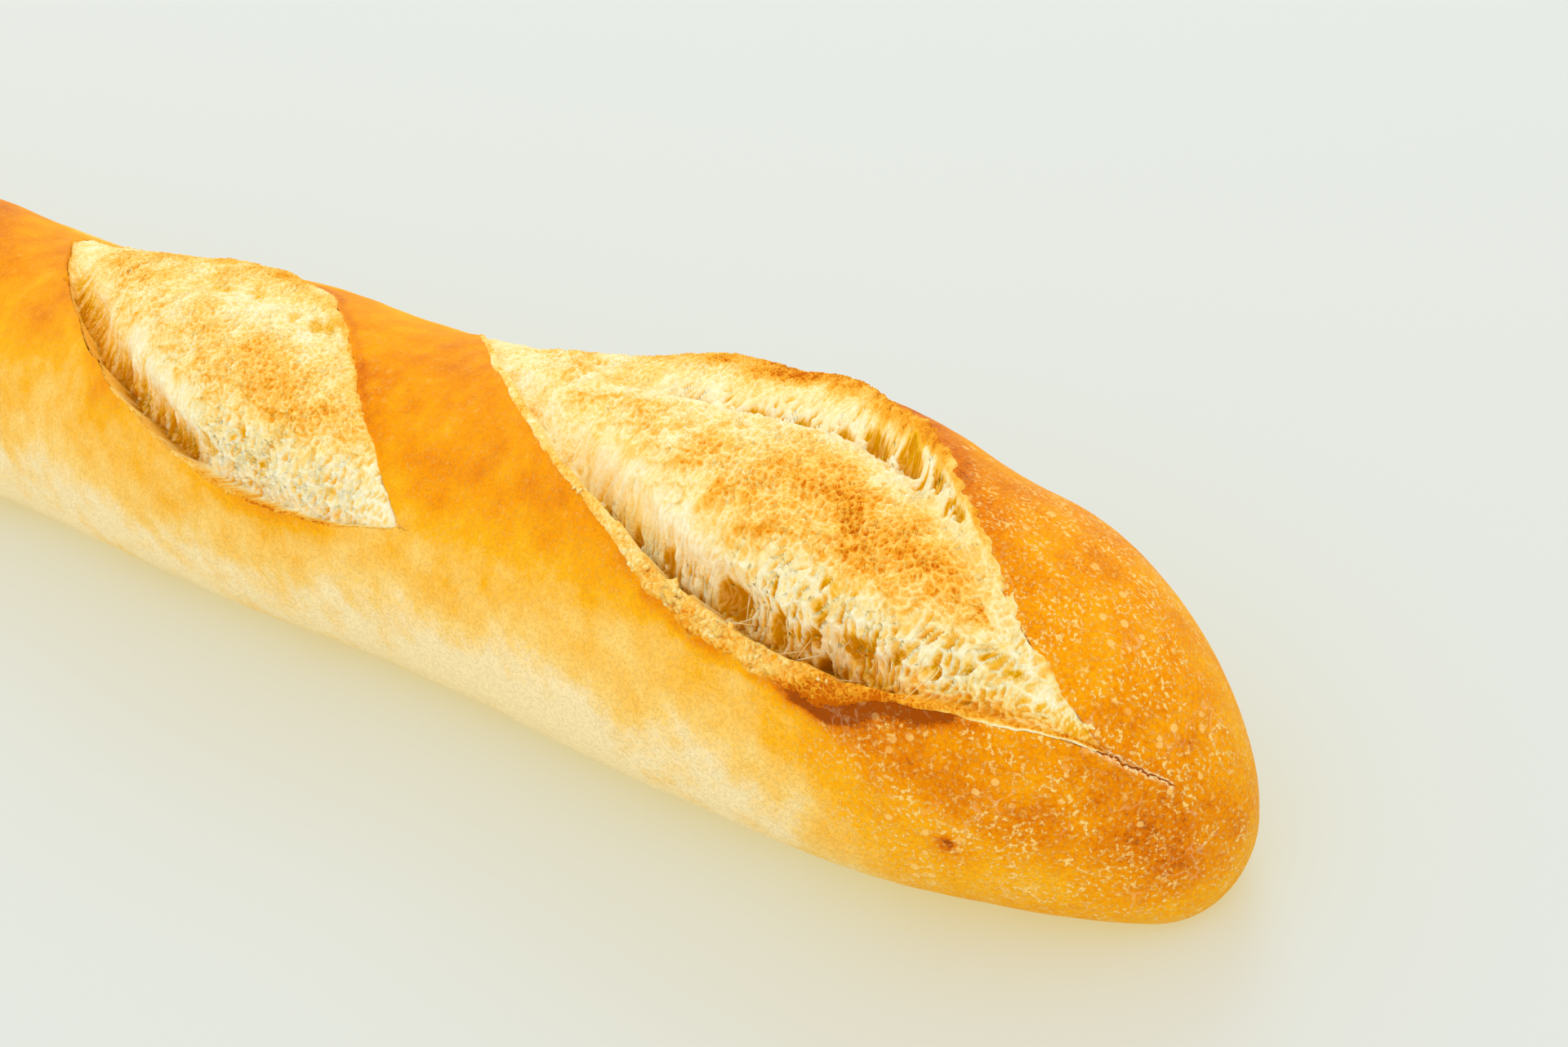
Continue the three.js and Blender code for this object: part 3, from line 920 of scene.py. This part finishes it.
def scatter_flakes(look):
    """Jagged flakes of crust and crumb along the near lips, joined into one mesh."""
    bm = bmesh.new()
    places = flake_places(look)
    scale = look.flake_size / MM
    for _ in places:
        bmesh.ops.create_icosphere(bm, subdivisions=2, radius=1.0)
    ball = np.array([vertex.co for vertex in bm.verts]).reshape(len(places), -1, 3)
    owner = np.arange(len(places))[:, None] * 7.3
    rough = 1 + 0.5 * noise(ball[..., 0] * 1.9 + owner, ball[..., 1] * 1.9, ball[..., 2] * 1.9, 71)
    jag = 1 + 0.25 * noise(ball[..., 0] * 5 + owner, ball[..., 1] * 5, ball[..., 2] * 5, 72)
    shape = ball * (rough * jag)[..., None]
    out = places[:, 3:6]
    side = np.cross(out, (1.0, 0.0, 0.0))
    side /= np.linalg.norm(side, axis=1)[:, None]
    ahead = np.cross(side, out)
    spin = draws(len(places), 73, 0, 2 * math.pi)[:, None]
    lean = draws(len(places), 74, -0.8, 0.8)[:, None]
    first = side * np.cos(spin) + ahead * np.sin(spin)
    level = ahead * np.cos(spin) - side * np.sin(spin)
    second = level * np.cos(lean) + out * np.sin(lean)
    third = out * np.cos(lean) - level * np.sin(lean)
    size = places[:, 6] * scale
    points = places[:, None, :3] + out[:, None] * (0.2 * size)[:, None, None]
    for number, (axis, share) in enumerate(zip((first, second, third), FLAKE_SHAPE)):
        points = points + axis[:, None] * (shape[..., number] * (share * size)[:, None])[..., None]
    tone = draws(len(places), 75, 0.36, 0.62)[:, None] + 0.15 * (rough - 1)
    points = points.reshape(-1, 3)
    write_points(bm, points, loose_marks(points, tone.ravel()))
    return bm


# The strands: their grid, how far along the last one lies, where they start inside the lip,
# how far they span, how they lean and bow, and how deep they sink in
STRAND_SIDES = 5
STRAND_RINGS = 8
STRAND_LAST = 0.84
STRAND_START = (0.2, 3.6)
STRAND_SPAN = (1.8, 4.4)
STRAND_LEAN = (-0.3, 0.3)
STRAND_BOW = (-0.2, 0.3)
STRAND_SINK = 0.06


def strand_paths(look):
    """The points that each strand runs through, and the way out at each of them."""
    shapes = []
    for index, opening in enumerate(OPENINGS):
        seed = 1200 + 30 * index
        count = max(round(look.strands * opening.lap), 1)
        along = draws(count, seed, opening.deep_from, STRAND_LAST)
        low = draws(count, seed + 1, *STRAND_START)
        high = low + draws(count, seed + 2, *STRAND_SPAN)
        drag = (SLANT + draws(count, seed + 3, *STRAND_LEAN)) * (high - low) / opening.length
        step = np.linspace(0, 1, STRAND_RINGS)
        inside = blend(low[:, None], high[:, None], step)
        where = np.clip(along[:, None] + drag[:, None] * step, 0.05, TAIL[0])
        points, out = crumb_surface(opening, index, where.ravel(), inside.ravel())
        points, out = points.reshape(count, -1, 3), out.reshape(count, -1, 3)
        chord = blend(points[:, :1], points[:, -1:], step[None, :, None])
        above = np.maximum(np.sum((points - chord) * out, axis=-1) + 0.05, 0.0)
        bow = draws(count, seed + 4, *STRAND_BOW)[:, None] * np.sin(math.pi * step)
        shapes.append((chord + out * (above + bow - STRAND_SINK)[..., None], out))
    return [np.concatenate(parts) for parts in zip(*shapes)]


def stretch_strands(look):
    """Thin strands of crumb that span the grooves, joined into one mesh."""
    bm = bmesh.new()
    path, out = strand_paths(look)
    grown = [
        bmesh.ops.create_uvsphere(
            bm, u_segments=STRAND_SIDES, v_segments=STRAND_RINGS - 1, radius=1.0
        )["verts"]
        for _ in path
    ]
    bm.verts.index_update()
    owned = np.array([[vertex.index for vertex in vertices] for vertices in grown])
    ball = np.array([vertex.co for vertex in bm.verts])[owned]
    level = ball_level(ball[..., 2], STRAND_RINGS - 1)
    strand = np.arange(len(path))[:, None]
    ahead = np.gradient(path, axis=1)
    ahead /= np.linalg.norm(ahead, axis=-1, keepdims=True)
    side = np.cross(ahead, out)
    side /= np.linalg.norm(side, axis=-1, keepdims=True)
    up = np.cross(side, ahead)
    thickness = look.strand_size / MM * draws(len(path), 77, 0.5, 1.2)[:, None]
    wide = np.hypot(ball[..., 0], ball[..., 1])
    turn = np.arctan2(ball[..., 1], ball[..., 0])
    radius = (thickness * wide**0.3 * (wide > 0.01))[..., None]
    ring = side[strand, level] * np.cos(turn)[..., None] + up[strand, level] * np.sin(turn)[..., None]
    points = path[strand, level] + radius * ring
    flat = np.zeros((len(bm.verts), 3))
    flat[owned] = points
    tone = np.zeros(len(flat))
    tone[owned] = draws(len(path), 78, 0.02, 0.3)[:, None]
    write_points(bm, flat, loose_marks(flat, tone))
    return bm


# ---------------------------------------------------------------- finishes

def shade(red, green, blue):
    """A colour as a screen shows it, from 0 to 255, brought to the light it stands for."""
    return tuple((channel / 255.0) ** 2.2 for channel in (red, green, blue))


def tint(color):
    return (*color[:3], 1.0)


class Finish:
    """A material's node tree, with a short way to add and wire its nodes."""

    def __init__(self, name):
        self.material = bpy.data.materials.new(name)
        self.material.use_nodes = True
        self.tree = self.material.node_tree
        self.shader = self.tree.nodes["Principled BSDF"]

    def node(self, kind, inputs=None, **settings):
        made = self.tree.nodes.new("ShaderNode" + kind)
        for name, value in settings.items():
            setattr(made, name, value)
        self.fill(made, inputs or {})
        return made

    def fill(self, node, inputs):
        """Sets a node's inputs, or wires them to other nodes."""
        for name, value in inputs.items():
            if isinstance(value, bpy.types.NodeSocket):
                self.tree.links.new(value, node.inputs[name])
            else:
                node.inputs[name].default_value = value

    def mark(self, name):
        return self.node("Attribute", attribute_name=name).outputs["Fac"]

    def sum(self, operation, first, second=0.0, third=0.0):
        return self.node("Math", {0: first, 1: second, 2: third}, operation=operation).outputs[0]

    def times(self, *values):
        product = values[0]
        for value in values[1:]:
            product = self.sum("MULTIPLY", product, value)
        return product

    def swing(self, value, strength, onto):
        """Adds a cloud's swing about its middle."""
        return self.sum("MULTIPLY_ADD", self.sum("SUBTRACT", value, 0.5), strength, onto)

    def between(self, value, low, high, start=0.0, stop=1.0):
        inputs = {"Value": value, "From Min": low, "From Max": high, "To Min": start, "To Max": stop}
        return self.node("MapRange", inputs, interpolation_type="SMOOTHSTEP").outputs["Result"]

    def mix(self, share, low, high):
        made = self.node("Mix", {0: share, 6: low, 7: high}, data_type="RGBA", clamp_factor=True)
        return made.outputs[2]

    def cloud(self, vector, size, detail=3.0, roughness=0.55, distortion=0.0):
        inputs = {
            "Vector": vector,
            "Scale": 1.0 / size,
            "Detail": detail,
            "Roughness": roughness,
            "Distortion": distortion,
        }
        return self.node("TexNoise", inputs).outputs["Fac"]

    def borders(self, vector, size, wander=0.0):
        """Distance from the borders of irregular cells, which wander by some of their size."""
        if wander:
            sway = self.node("TexNoise", {"Vector": vector, "Scale": 1.6 / size, "Detail": 2.0})
            push = (wander * size,) * 3
            bent = self.node(
                "VectorMath", {0: sway.outputs["Color"], 1: push, 2: vector}, operation="MULTIPLY_ADD"
            )
            vector = bent.outputs[0]
        made = self.node("TexVoronoi", {"Vector": vector, "Scale": 1.0 / size}, feature="DISTANCE_TO_EDGE")
        return made.outputs["Distance"]

    def spots(self, vector, size, largest):
        """Round spots, most of them small: 1 inside a spot and 0 outside it."""
        made = self.node("TexVoronoi", {"Vector": vector, "Scale": 1.0 / size})
        chance = self.node("SeparateColor", {"Color": made.outputs["Color"]}).outputs[0]
        radius = self.between(chance, 0.4, 1.0, 0.0, largest)
        return self.between(self.sum("SUBTRACT", radius, made.outputs["Distance"]), 0.0, 0.09)

    def ramp(self, value, stops):
        made = self.node("ValToRGB", {"Fac": value})
        band = made.color_ramp
        while len(band.elements) < len(stops):
            band.elements.new(0.5)
        for element, (position, color) in zip(band.elements, stops):
            element.position = position
            element.color = tint(color)
        return made.outputs["Color"]


def millimetres(finish):
    """The place on the piece, in millimetres."""
    where = finish.node("TexCoord").outputs["Object"]
    return finish.node("VectorMath", {0: where, 1: (1 / MM,) * 3}, operation="MULTIPLY").outputs[0]


def crust_finish(look):
    finish = Finish("baked_crust")
    where = millimetres(finish)
    heel = finish.mark("heel")
    mottle = finish.cloud(where, 4.6, 5.0, 0.65)
    grain = finish.cloud(where, 0.6, 3.0, 0.7)
    tone = finish.swing(mottle, 0.40, finish.mark("bake_and_backlight"))
    tone = finish.swing(grain, finish.between(heel, 0.0, 0.8, 0.25, 0.55), tone)
    stops = (
        (0.0, look.pale), (0.2, look.straw), (0.46, look.golden),
        (0.66, look.amber), (0.86, look.brown), (1.0, look.dark),
    )
    color = finish.ramp(tone, stops)

    browned = finish.between(tone, 0.20, 0.46)
    patch = finish.between(finish.cloud(where, 15.0, 2.0), 0.40, 0.60)
    thick = finish.between(finish.cloud(where, 5.0, 2.0), 0.38, 0.62, 0.25, 1.0)
    flecks = finish.between(finish.cloud(where, 0.65, 3.0, 0.6, 0.1), 0.51, 0.61)
    strength = finish.between(heel, 0.0, 0.8, 0.15, 0.95)
    unburnt = finish.between(tone, 1.0, 0.72, 0.15, 1.0)
    fleck_share = finish.times(flecks, browned, thick, strength, unburnt)
    dots = finish.times(
        finish.spots(where, 2.2, 0.34), patch, browned, finish.between(heel, 0.0, 0.4, 0.2, 1.0)
    )
    lines = finish.between(finish.borders(where, 4.4, 0.7), 0.06, 0.0)
    web_patch = finish.between(finish.cloud(where, 8.0, 3.0), 0.52, 0.66)
    line_share = finish.times(lines, web_patch, browned, heel, finish.between(grain, 0.35, 0.6))
    color = finish.mix(fleck_share, color, tint(look.blister))
    color = finish.mix(finish.times(dots, look.blister_strength), color, tint(look.blister))
    color = finish.mix(finish.times(line_share, 0.35), color, tint(look.crackle))
    jagged = finish.swing(finish.cloud(where, 2.4, 4.0, 0.6), 3.2, finish.mark("crack"))
    aside = finish.sum("ABSOLUTE", jagged)
    reach = finish.between(finish.mark("crack_reach"), 0.3, 0.7)
    rim_line = finish.sum("ABSOLUTE", finish.sum("SUBTRACT", aside, 0.4))
    rims = finish.times(finish.between(rim_line, 0.0, 0.4, 1.0, 0.0), reach)
    # Painted shade: the gap of the crack is painted with the darkest crust tone
    crack_gap_shade = finish.times(finish.between(aside, 0.05, 0.17, 1.0, 0.0), reach)
    color = finish.mix(finish.times(rims, finish.between(grain, 0.4, 0.55)), color, tint(look.crackle))
    color = finish.mix(crack_gap_shade, color, tint(look.dark))

    height = finish.sum("MULTIPLY_ADD", grain, 0.5, finish.times(mottle, 0.5))
    height = finish.sum("MULTIPLY_ADD", finish.sum("MAXIMUM", dots, flecks), 0.25, height)
    height = finish.sum("SUBTRACT", height, crack_gap_shade)
    bump = finish.node("Bump", {"Height": height, "Strength": 0.7, "Distance": 0.0005})
    surface = {
        "Base Color": color,
        "Roughness": finish.between(tone, 0.2, 0.9, 0.68, 0.52),
        "Specular IOR Level": 0.06,
        "Specular Tint": (1.0, 0.84, 0.5, 1.0),
        "Normal": bump.outputs["Normal"],
    }
    finish.fill(finish.shader, surface)
    return finish.material


def along_fibres(finish, squeeze):
    """The place on a sheet of crumb, squeezed the way its fibres run."""
    reach = finish.times(finish.mark("reach"), squeeze)
    return finish.node("CombineXYZ", {"X": finish.mark("run"), "Y": reach}).outputs[0]


def crumb_finish(look):
    finish = Finish("torn_crumb")
    where = millimetres(finish)
    flow = along_fibres(finish, 0.16)
    stretched = along_fibres(finish, 0.42)
    toast_and_shade, hole_shade, torn = finish.mark("toast_and_shade"), finish.mark("hole_shade"), finish.mark("torn")
    grain = finish.cloud(where, 0.6, 3.0, 0.6)
    soft = finish.cloud(where, 3.2, 3.0)
    streaks = finish.cloud(flow, 0.36, 3.0, 0.55, 0.4)
    net = finish.between(finish.borders(where, 0.8, 0.6), 0.0, 0.28)
    mesh_gaps = finish.times(finish.between(finish.borders(stretched, 0.75, 0.6), 0.04, 0.3), torn)
    on_top = finish.sum("SUBTRACT", 1.0, torn)
    tone = finish.swing(grain, 0.45, toast_and_shade)
    tone = finish.swing(soft, 0.3, tone)
    tone = finish.sum("ADD", tone, finish.times(finish.sum("SUBTRACT", net, 0.6), on_top, 0.2))
    tone = finish.sum("ADD", tone, finish.times(finish.sum("SUBTRACT", streaks, 0.5), torn, 0.6))
    stops = (
        (0.0, look.white), (0.22, look.cream), (0.46, look.gold),
        (0.74, look.toasted), (1.0, look.scorched),
    )
    color = finish.ramp(tone, stops)
    # Painted shade: holes, pits and the gaps of the web take the hole tones, with gold along the borders
    # of stretched cells
    deep = finish.swing(grain, 0.5, finish.sum("MULTIPLY_ADD", mesh_gaps, 0.26, hole_shade))
    walls = finish.between(finish.borders(stretched, 1.25, 0.9), 0.01, 0.1)
    shaded = finish.mix(finish.between(deep, 0.55, 1.0), tint(look.hole_side_shade), tint(look.shadow))
    bottom = finish.mix(finish.between(walls, 0.0, 1.0, 0.45, 1.0), tint(look.gold), shaded)
    color = finish.mix(finish.between(deep, 0.1, 0.85), color, bottom)

    height = finish.sum("MULTIPLY_ADD", finish.times(streaks, torn), 0.7, grain)
    height = finish.sum("SUBTRACT", height, finish.times(net, on_top, 0.6))
    height = finish.sum("SUBTRACT", height, finish.times(mesh_gaps, 0.7))
    bump = finish.node("Bump", {"Height": height, "Strength": 0.45, "Distance": 0.0004})
    surface = {
        "Base Color": color,
        "Roughness": 0.75,
        "Specular IOR Level": 0.05,
        "Specular Tint": (1.0, 0.9, 0.7, 1.0),
        "Subsurface Weight": 0.15,
        "Subsurface Radius": (0.8, 0.65, 0.35),
        "Subsurface Scale": 0.001,
        "Normal": bump.outputs["Normal"],
    }
    finish.fill(finish.shader, surface)
    return finish.material


def floor_finish(stage):
    finish = Finish("pale_board")
    cloudy = finish.cloud(millimetres(finish), 900.0, 1.0)
    low = tint(stage.floor_color)
    high = tint([channel * 1.02 for channel in stage.floor_color[:3]])
    surface = {
        "Base Color": finish.mix(cloudy, low, high),
        "Roughness": 0.7,
        "Specular IOR Level": 0.1,
        # Painted light: the floor glows warm, which lifts and warms its shadow and the light on the loaf's
        # underside; its bluish colour keeps the lit floor pale
        "Emission Color": tint(stage.floor_glow),
        "Emission Strength": stage.glow_strength,
    }
    finish.fill(finish.shader, surface)
    return finish.material


# ---------------------------------------------------------------- settings

def color_setting(name, description, default):
    return bpy.props.FloatVectorProperty(
        name=name, description=description, subtype="COLOR", size=3, min=0, max=1, default=default
    )


class CrustLook(bpy.types.PropertyGroup):
    """Colours and blisters of the crust."""

    pale: color_setting("Pale", "Crust that was shaded in the oven", shade(252, 230, 176))
    straw: color_setting("Straw", "Lightly baked crust", shade(253, 208, 112))
    golden: color_setting("Golden", "Crust of an even bake", shade(251, 177, 26))
    amber: color_setting("Amber", "Well baked crust", shade(242, 150, 2))
    brown: color_setting("Brown", "Crust along the lips", shade(218, 114, 0))
    dark: color_setting("Dark", "The darkest edges", shade(160, 74, 0))
    blister: color_setting("Blister", "Small pale blisters", shade(253, 208, 120))
    crackle: color_setting("Crackle", "Fine pale cracks in the crust", shade(254, 226, 168))
    blister_strength: bpy.props.FloatProperty(
        name="Blister strength", description="How clearly blisters show", default=0.6, min=0, max=1
    )


class CrumbLook(bpy.types.PropertyGroup):
    """Colours of the torn crumb, and the flakes and strands on it."""

    white: color_setting("White", "Freshly torn crumb", shade(252, 243, 206))
    cream: color_setting("Cream", "Crumb that has dried", shade(253, 231, 164))
    gold: color_setting("Gold", "Lightly toasted crumb", shade(253, 205, 104))
    toasted: color_setting("Toasted", "Toasted tops", shade(246, 168, 44))
    scorched: color_setting("Scorched", "The darkest tops", shade(204, 102, 2))
    # Painted shade: the tones of the sides and the bottoms of holes, in place of the shade that falls in
    # them
    hole_side_shade: color_setting("Hollow", "The side of a hole", shade(242, 186, 22))
    shadow: color_setting("Shadow", "The bottom of a hole", shade(218, 152, 0))
    flakes: bpy.props.IntProperty(
        name="Flakes", description="Loose flakes along each near lip", default=22, min=0, max=60
    )
    flake_size: bpy.props.FloatProperty(
        name="Flake size", description="Half the length of the largest flakes", default=0.001,
        subtype="DISTANCE", unit="LENGTH",
    )
    strands: bpy.props.IntProperty(
        name="Strands", description="Strands across each groove", default=36, min=0, max=200
    )
    strand_size: bpy.props.FloatProperty(
        name="Strand size", description="Half the thickness of a strand", default=0.00008,
        subtype="DISTANCE", unit="LENGTH", precision=5,
    )


class StageLook(bpy.types.PropertyGroup):
    """The floor, the lights and the camera."""

    # Painted light: the floor's warm glow and the bluish colour under it, which make the floor's shadow
    # warm and light
    floor_color: color_setting("Floor", "Colour of the floor", (0.12, 0.32, 0.53))
    floor_glow: color_setting("Floor glow", "Colour of the light through the floor", (1.0, 0.66, 0.20))
    glow_strength: bpy.props.FloatProperty(
        name="Glow strength", description="Light through the floor", default=0.63
    )
    sky: color_setting("Sky", "Colour of the light all round", (1.0, 1.0, 0.99))
    sky_strength: bpy.props.FloatProperty(name="Sky strength", description="Fill light", default=1.0)
    window_power: bpy.props.FloatProperty(
        name="Window power", description="Power of the lamp behind", default=6.0, subtype="POWER"
    )
    fill_power: bpy.props.FloatProperty(
        name="Fill power", description="Power of the lamp in front", default=4.0, subtype="POWER"
    )
    distance: bpy.props.FloatProperty(
        name="Camera distance", description="From the camera to its target", default=0.2996,
        subtype="DISTANCE", unit="LENGTH",
    )


# ---------------------------------------------------------------- operators

class BAGUETTE_OT_crust(bpy.types.Operator):
    """Bake the crust over the whole loaf"""

    bl_idname = "baguette.crust"
    bl_label = "Bake the crust"

    def execute(self, context):
        material = crust_finish(context.scene.baguette_crust)
        piece = finish_piece(bake_crust(), "crust", material)
        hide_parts("loaf")
        return {"FINISHED"}


class BAGUETTE_OT_crumb(bpy.types.Operator):
    """Tear the crumb in each opening"""

    bl_idname = "baguette.crumb"
    bl_label = "Tear the crumb"

    def execute(self, context):
        material = crumb_finish(context.scene.baguette_crumb)
        for index, opening in enumerate(OPENINGS):
            piece = finish_piece(bake_crumb(opening, index), f"crumb_{index + 1}", material)
            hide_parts("loaf")
        return {"FINISHED"}


def torn_crumb():
    """The crumb's material, which the crumb operator makes first."""
    material = bpy.data.materials.get("torn_crumb")
    if material is None:
        raise RuntimeError("tear the crumb before its flakes and strands")
    return material


class BAGUETTE_OT_flakes(bpy.types.Operator):
    """Scatter flakes along the near lips"""

    bl_idname = "baguette.flakes"
    bl_label = "Scatter the flakes"

    def execute(self, context):
        finish_piece(scatter_flakes(context.scene.baguette_crumb), "crumb_flakes", torn_crumb())
        return {"FINISHED"}


class BAGUETTE_OT_strands(bpy.types.Operator):
    """Stretch strands of crumb across the grooves"""

    bl_idname = "baguette.strands"
    bl_label = "Stretch the strands"

    def execute(self, context):
        finish_piece(stretch_strands(context.scene.baguette_crumb), "torn_strands", torn_crumb())
        return {"FINISHED"}


# The camera: the point it looks at, in millimetres from the front tip, to the side and up from
# the floor, its turns, and its lens
TARGET_FROM_FRONT = 95.2
TARGET_SIDEWAYS = 21.6
TARGET_HEIGHT = 20.0
CAMERA_TARGET = (
    (LENGTH / 2 - TARGET_FROM_FRONT) * MM, (TARGET_SIDEWAYS - SIDE_CENTRE) * MM, TARGET_HEIGHT * MM,
)
CAMERA_AZIMUTH = math.radians(43.19)
CAMERA_ELEVATION = math.radians(33.17)
CAMERA_ROLL = math.radians(-10.54)
PICTURE_WIDTH = 1920.0
FOCAL_IN_PIXELS = 2200.0
SENSOR_WIDTH = 36.0
CAMERA_FOCAL = FOCAL_IN_PIXELS / PICTURE_WIDTH * SENSOR_WIDTH
CLIP_START = 0.01
FLOOR_REACH = 6.0


class Lamp(NamedTuple):
    """Where a lamp hangs, in degrees and metres from the loaf's middle, and its disk."""

    azimuth: float
    elevation: float
    distance: float
    size: float
    color: tuple


WINDOW = Lamp(192.0, 48.0, 1.6, 0.9, (1.0, 0.98, 0.93))
FILL = Lamp(25.0, 38.0, 1.6, 1.4, (1.0, 0.95, 0.84))


def aim(azimuth, elevation, roll):
    """A camera's or a lamp's turn, looking at the loaf from this side and height."""
    back = Vector(
        (
            math.sin(azimuth) * math.cos(elevation),
            -math.cos(azimuth) * math.cos(elevation),
            math.sin(elevation),
        )
    )
    right = Vector((0, 0, 1)).cross(back).normalized()
    up = back.cross(right)
    rolled_right = right * math.cos(roll) + up * math.sin(roll)
    rolled_up = up * math.cos(roll) - right * math.sin(roll)
    return back, Matrix((rolled_right, rolled_up, back)).transposed()


def add_lamp(name, lamp, power):
    light = bpy.data.lights.new(name, "AREA")
    light.shape = "DISK"
    light.size = lamp.size
    light.energy = power
    light.color = lamp.color
    hung = bpy.data.objects.new(name, light)
    bpy.context.scene.collection.objects.link(hung)
    back, turn = aim(math.radians(lamp.azimuth), math.radians(lamp.elevation), 0.0)
    hung.matrix_world = Matrix.Translation(back * lamp.distance) @ turn.to_4x4()


class BAGUETTE_OT_stage(bpy.types.Operator):
    """Lay the floor, hang the lamps and set the camera"""

    bl_idname = "baguette.stage"
    bl_label = "Set the stage"

    def execute(self, context):
        stage = context.scene.baguette_stage
        bm = bmesh.new()
        bmesh.ops.create_grid(bm, x_segments=1, y_segments=1, size=FLOOR_REACH)
        mesh = bpy.data.meshes.new("floor")
        bm.to_mesh(mesh)
        bm.free()
        mesh.materials.append(floor_finish(stage))
        floor = bpy.data.objects.new("floor", mesh)
        context.scene.collection.objects.link(floor)

        world = bpy.data.worlds.new("soft_sky")
        world.use_nodes = True
        background = world.node_tree.nodes["Background"]
        background.inputs["Color"].default_value = tint(stage.sky)
        background.inputs["Strength"].default_value = stage.sky_strength
        context.scene.world = world
        add_lamp("window", WINDOW, stage.window_power)
        add_lamp("fill", FILL, stage.fill_power)

        lens = bpy.data.cameras.new("camera")
        lens.sensor_width = SENSOR_WIDTH
        lens.sensor_fit = "HORIZONTAL"
        lens.lens = CAMERA_FOCAL
        lens.clip_start = CLIP_START
        camera = bpy.data.objects.new("camera", lens)
        context.scene.collection.objects.link(camera)
        back, turn = aim(CAMERA_AZIMUTH, CAMERA_ELEVATION, CAMERA_ROLL)
        place_at = Vector(CAMERA_TARGET) + back * stage.distance
        camera.matrix_world = Matrix.Translation(place_at) @ turn.to_4x4()
        context.scene.camera = camera
        context.scene.view_settings.view_transform = "Standard"
        return {"FINISHED"}


class BAGUETTE_PT_panel(bpy.types.Panel):
    """The baguette's pieces and stage"""

    bl_idname = "BAGUETTE_PT_panel"
    bl_label = "Baguette"
    bl_space_type = "VIEW_3D"
    bl_region_type = "UI"
    bl_category = "Baguette"

    def draw(self, context):
        for operator in OPERATORS:
            self.layout.operator(operator.bl_idname)
        for name in SETTINGS:
            group = getattr(context.scene, name)
            box = self.layout.box()
            for setting in group.bl_rna.properties:
                if setting.identifier not in ("rna_type", "name"):
                    box.prop(group, setting.identifier)


OPERATORS = (
    BAGUETTE_OT_crust,
    BAGUETTE_OT_crumb,
    BAGUETTE_OT_flakes,
    BAGUETTE_OT_strands,
    BAGUETTE_OT_stage,
)
SETTINGS = {
    "baguette_crust": CrustLook,
    "baguette_crumb": CrumbLook,
    "baguette_stage": StageLook,
}


def register():
    for group in (*SETTINGS.values(), *OPERATORS, BAGUETTE_PT_panel):
        bpy.utils.register_class(group)
    for name, group in SETTINGS.items():
        setattr(bpy.types.Scene, name, bpy.props.PointerProperty(type=group))


def unregister():
    for name in SETTINGS:
        delattr(bpy.types.Scene, name)
    for group in (BAGUETTE_PT_panel, *reversed(OPERATORS), *SETTINGS.values()):
        bpy.utils.unregister_class(group)


def main():
    register()
    bpy.ops.baguette.crust()
    bpy.ops.baguette.crumb()
    bpy.ops.baguette.flakes()
    bpy.ops.baguette.strands()
    bpy.ops.baguette.stage()
    bpy.context.view_layer.update()


if __name__ == "__main__":
    main()
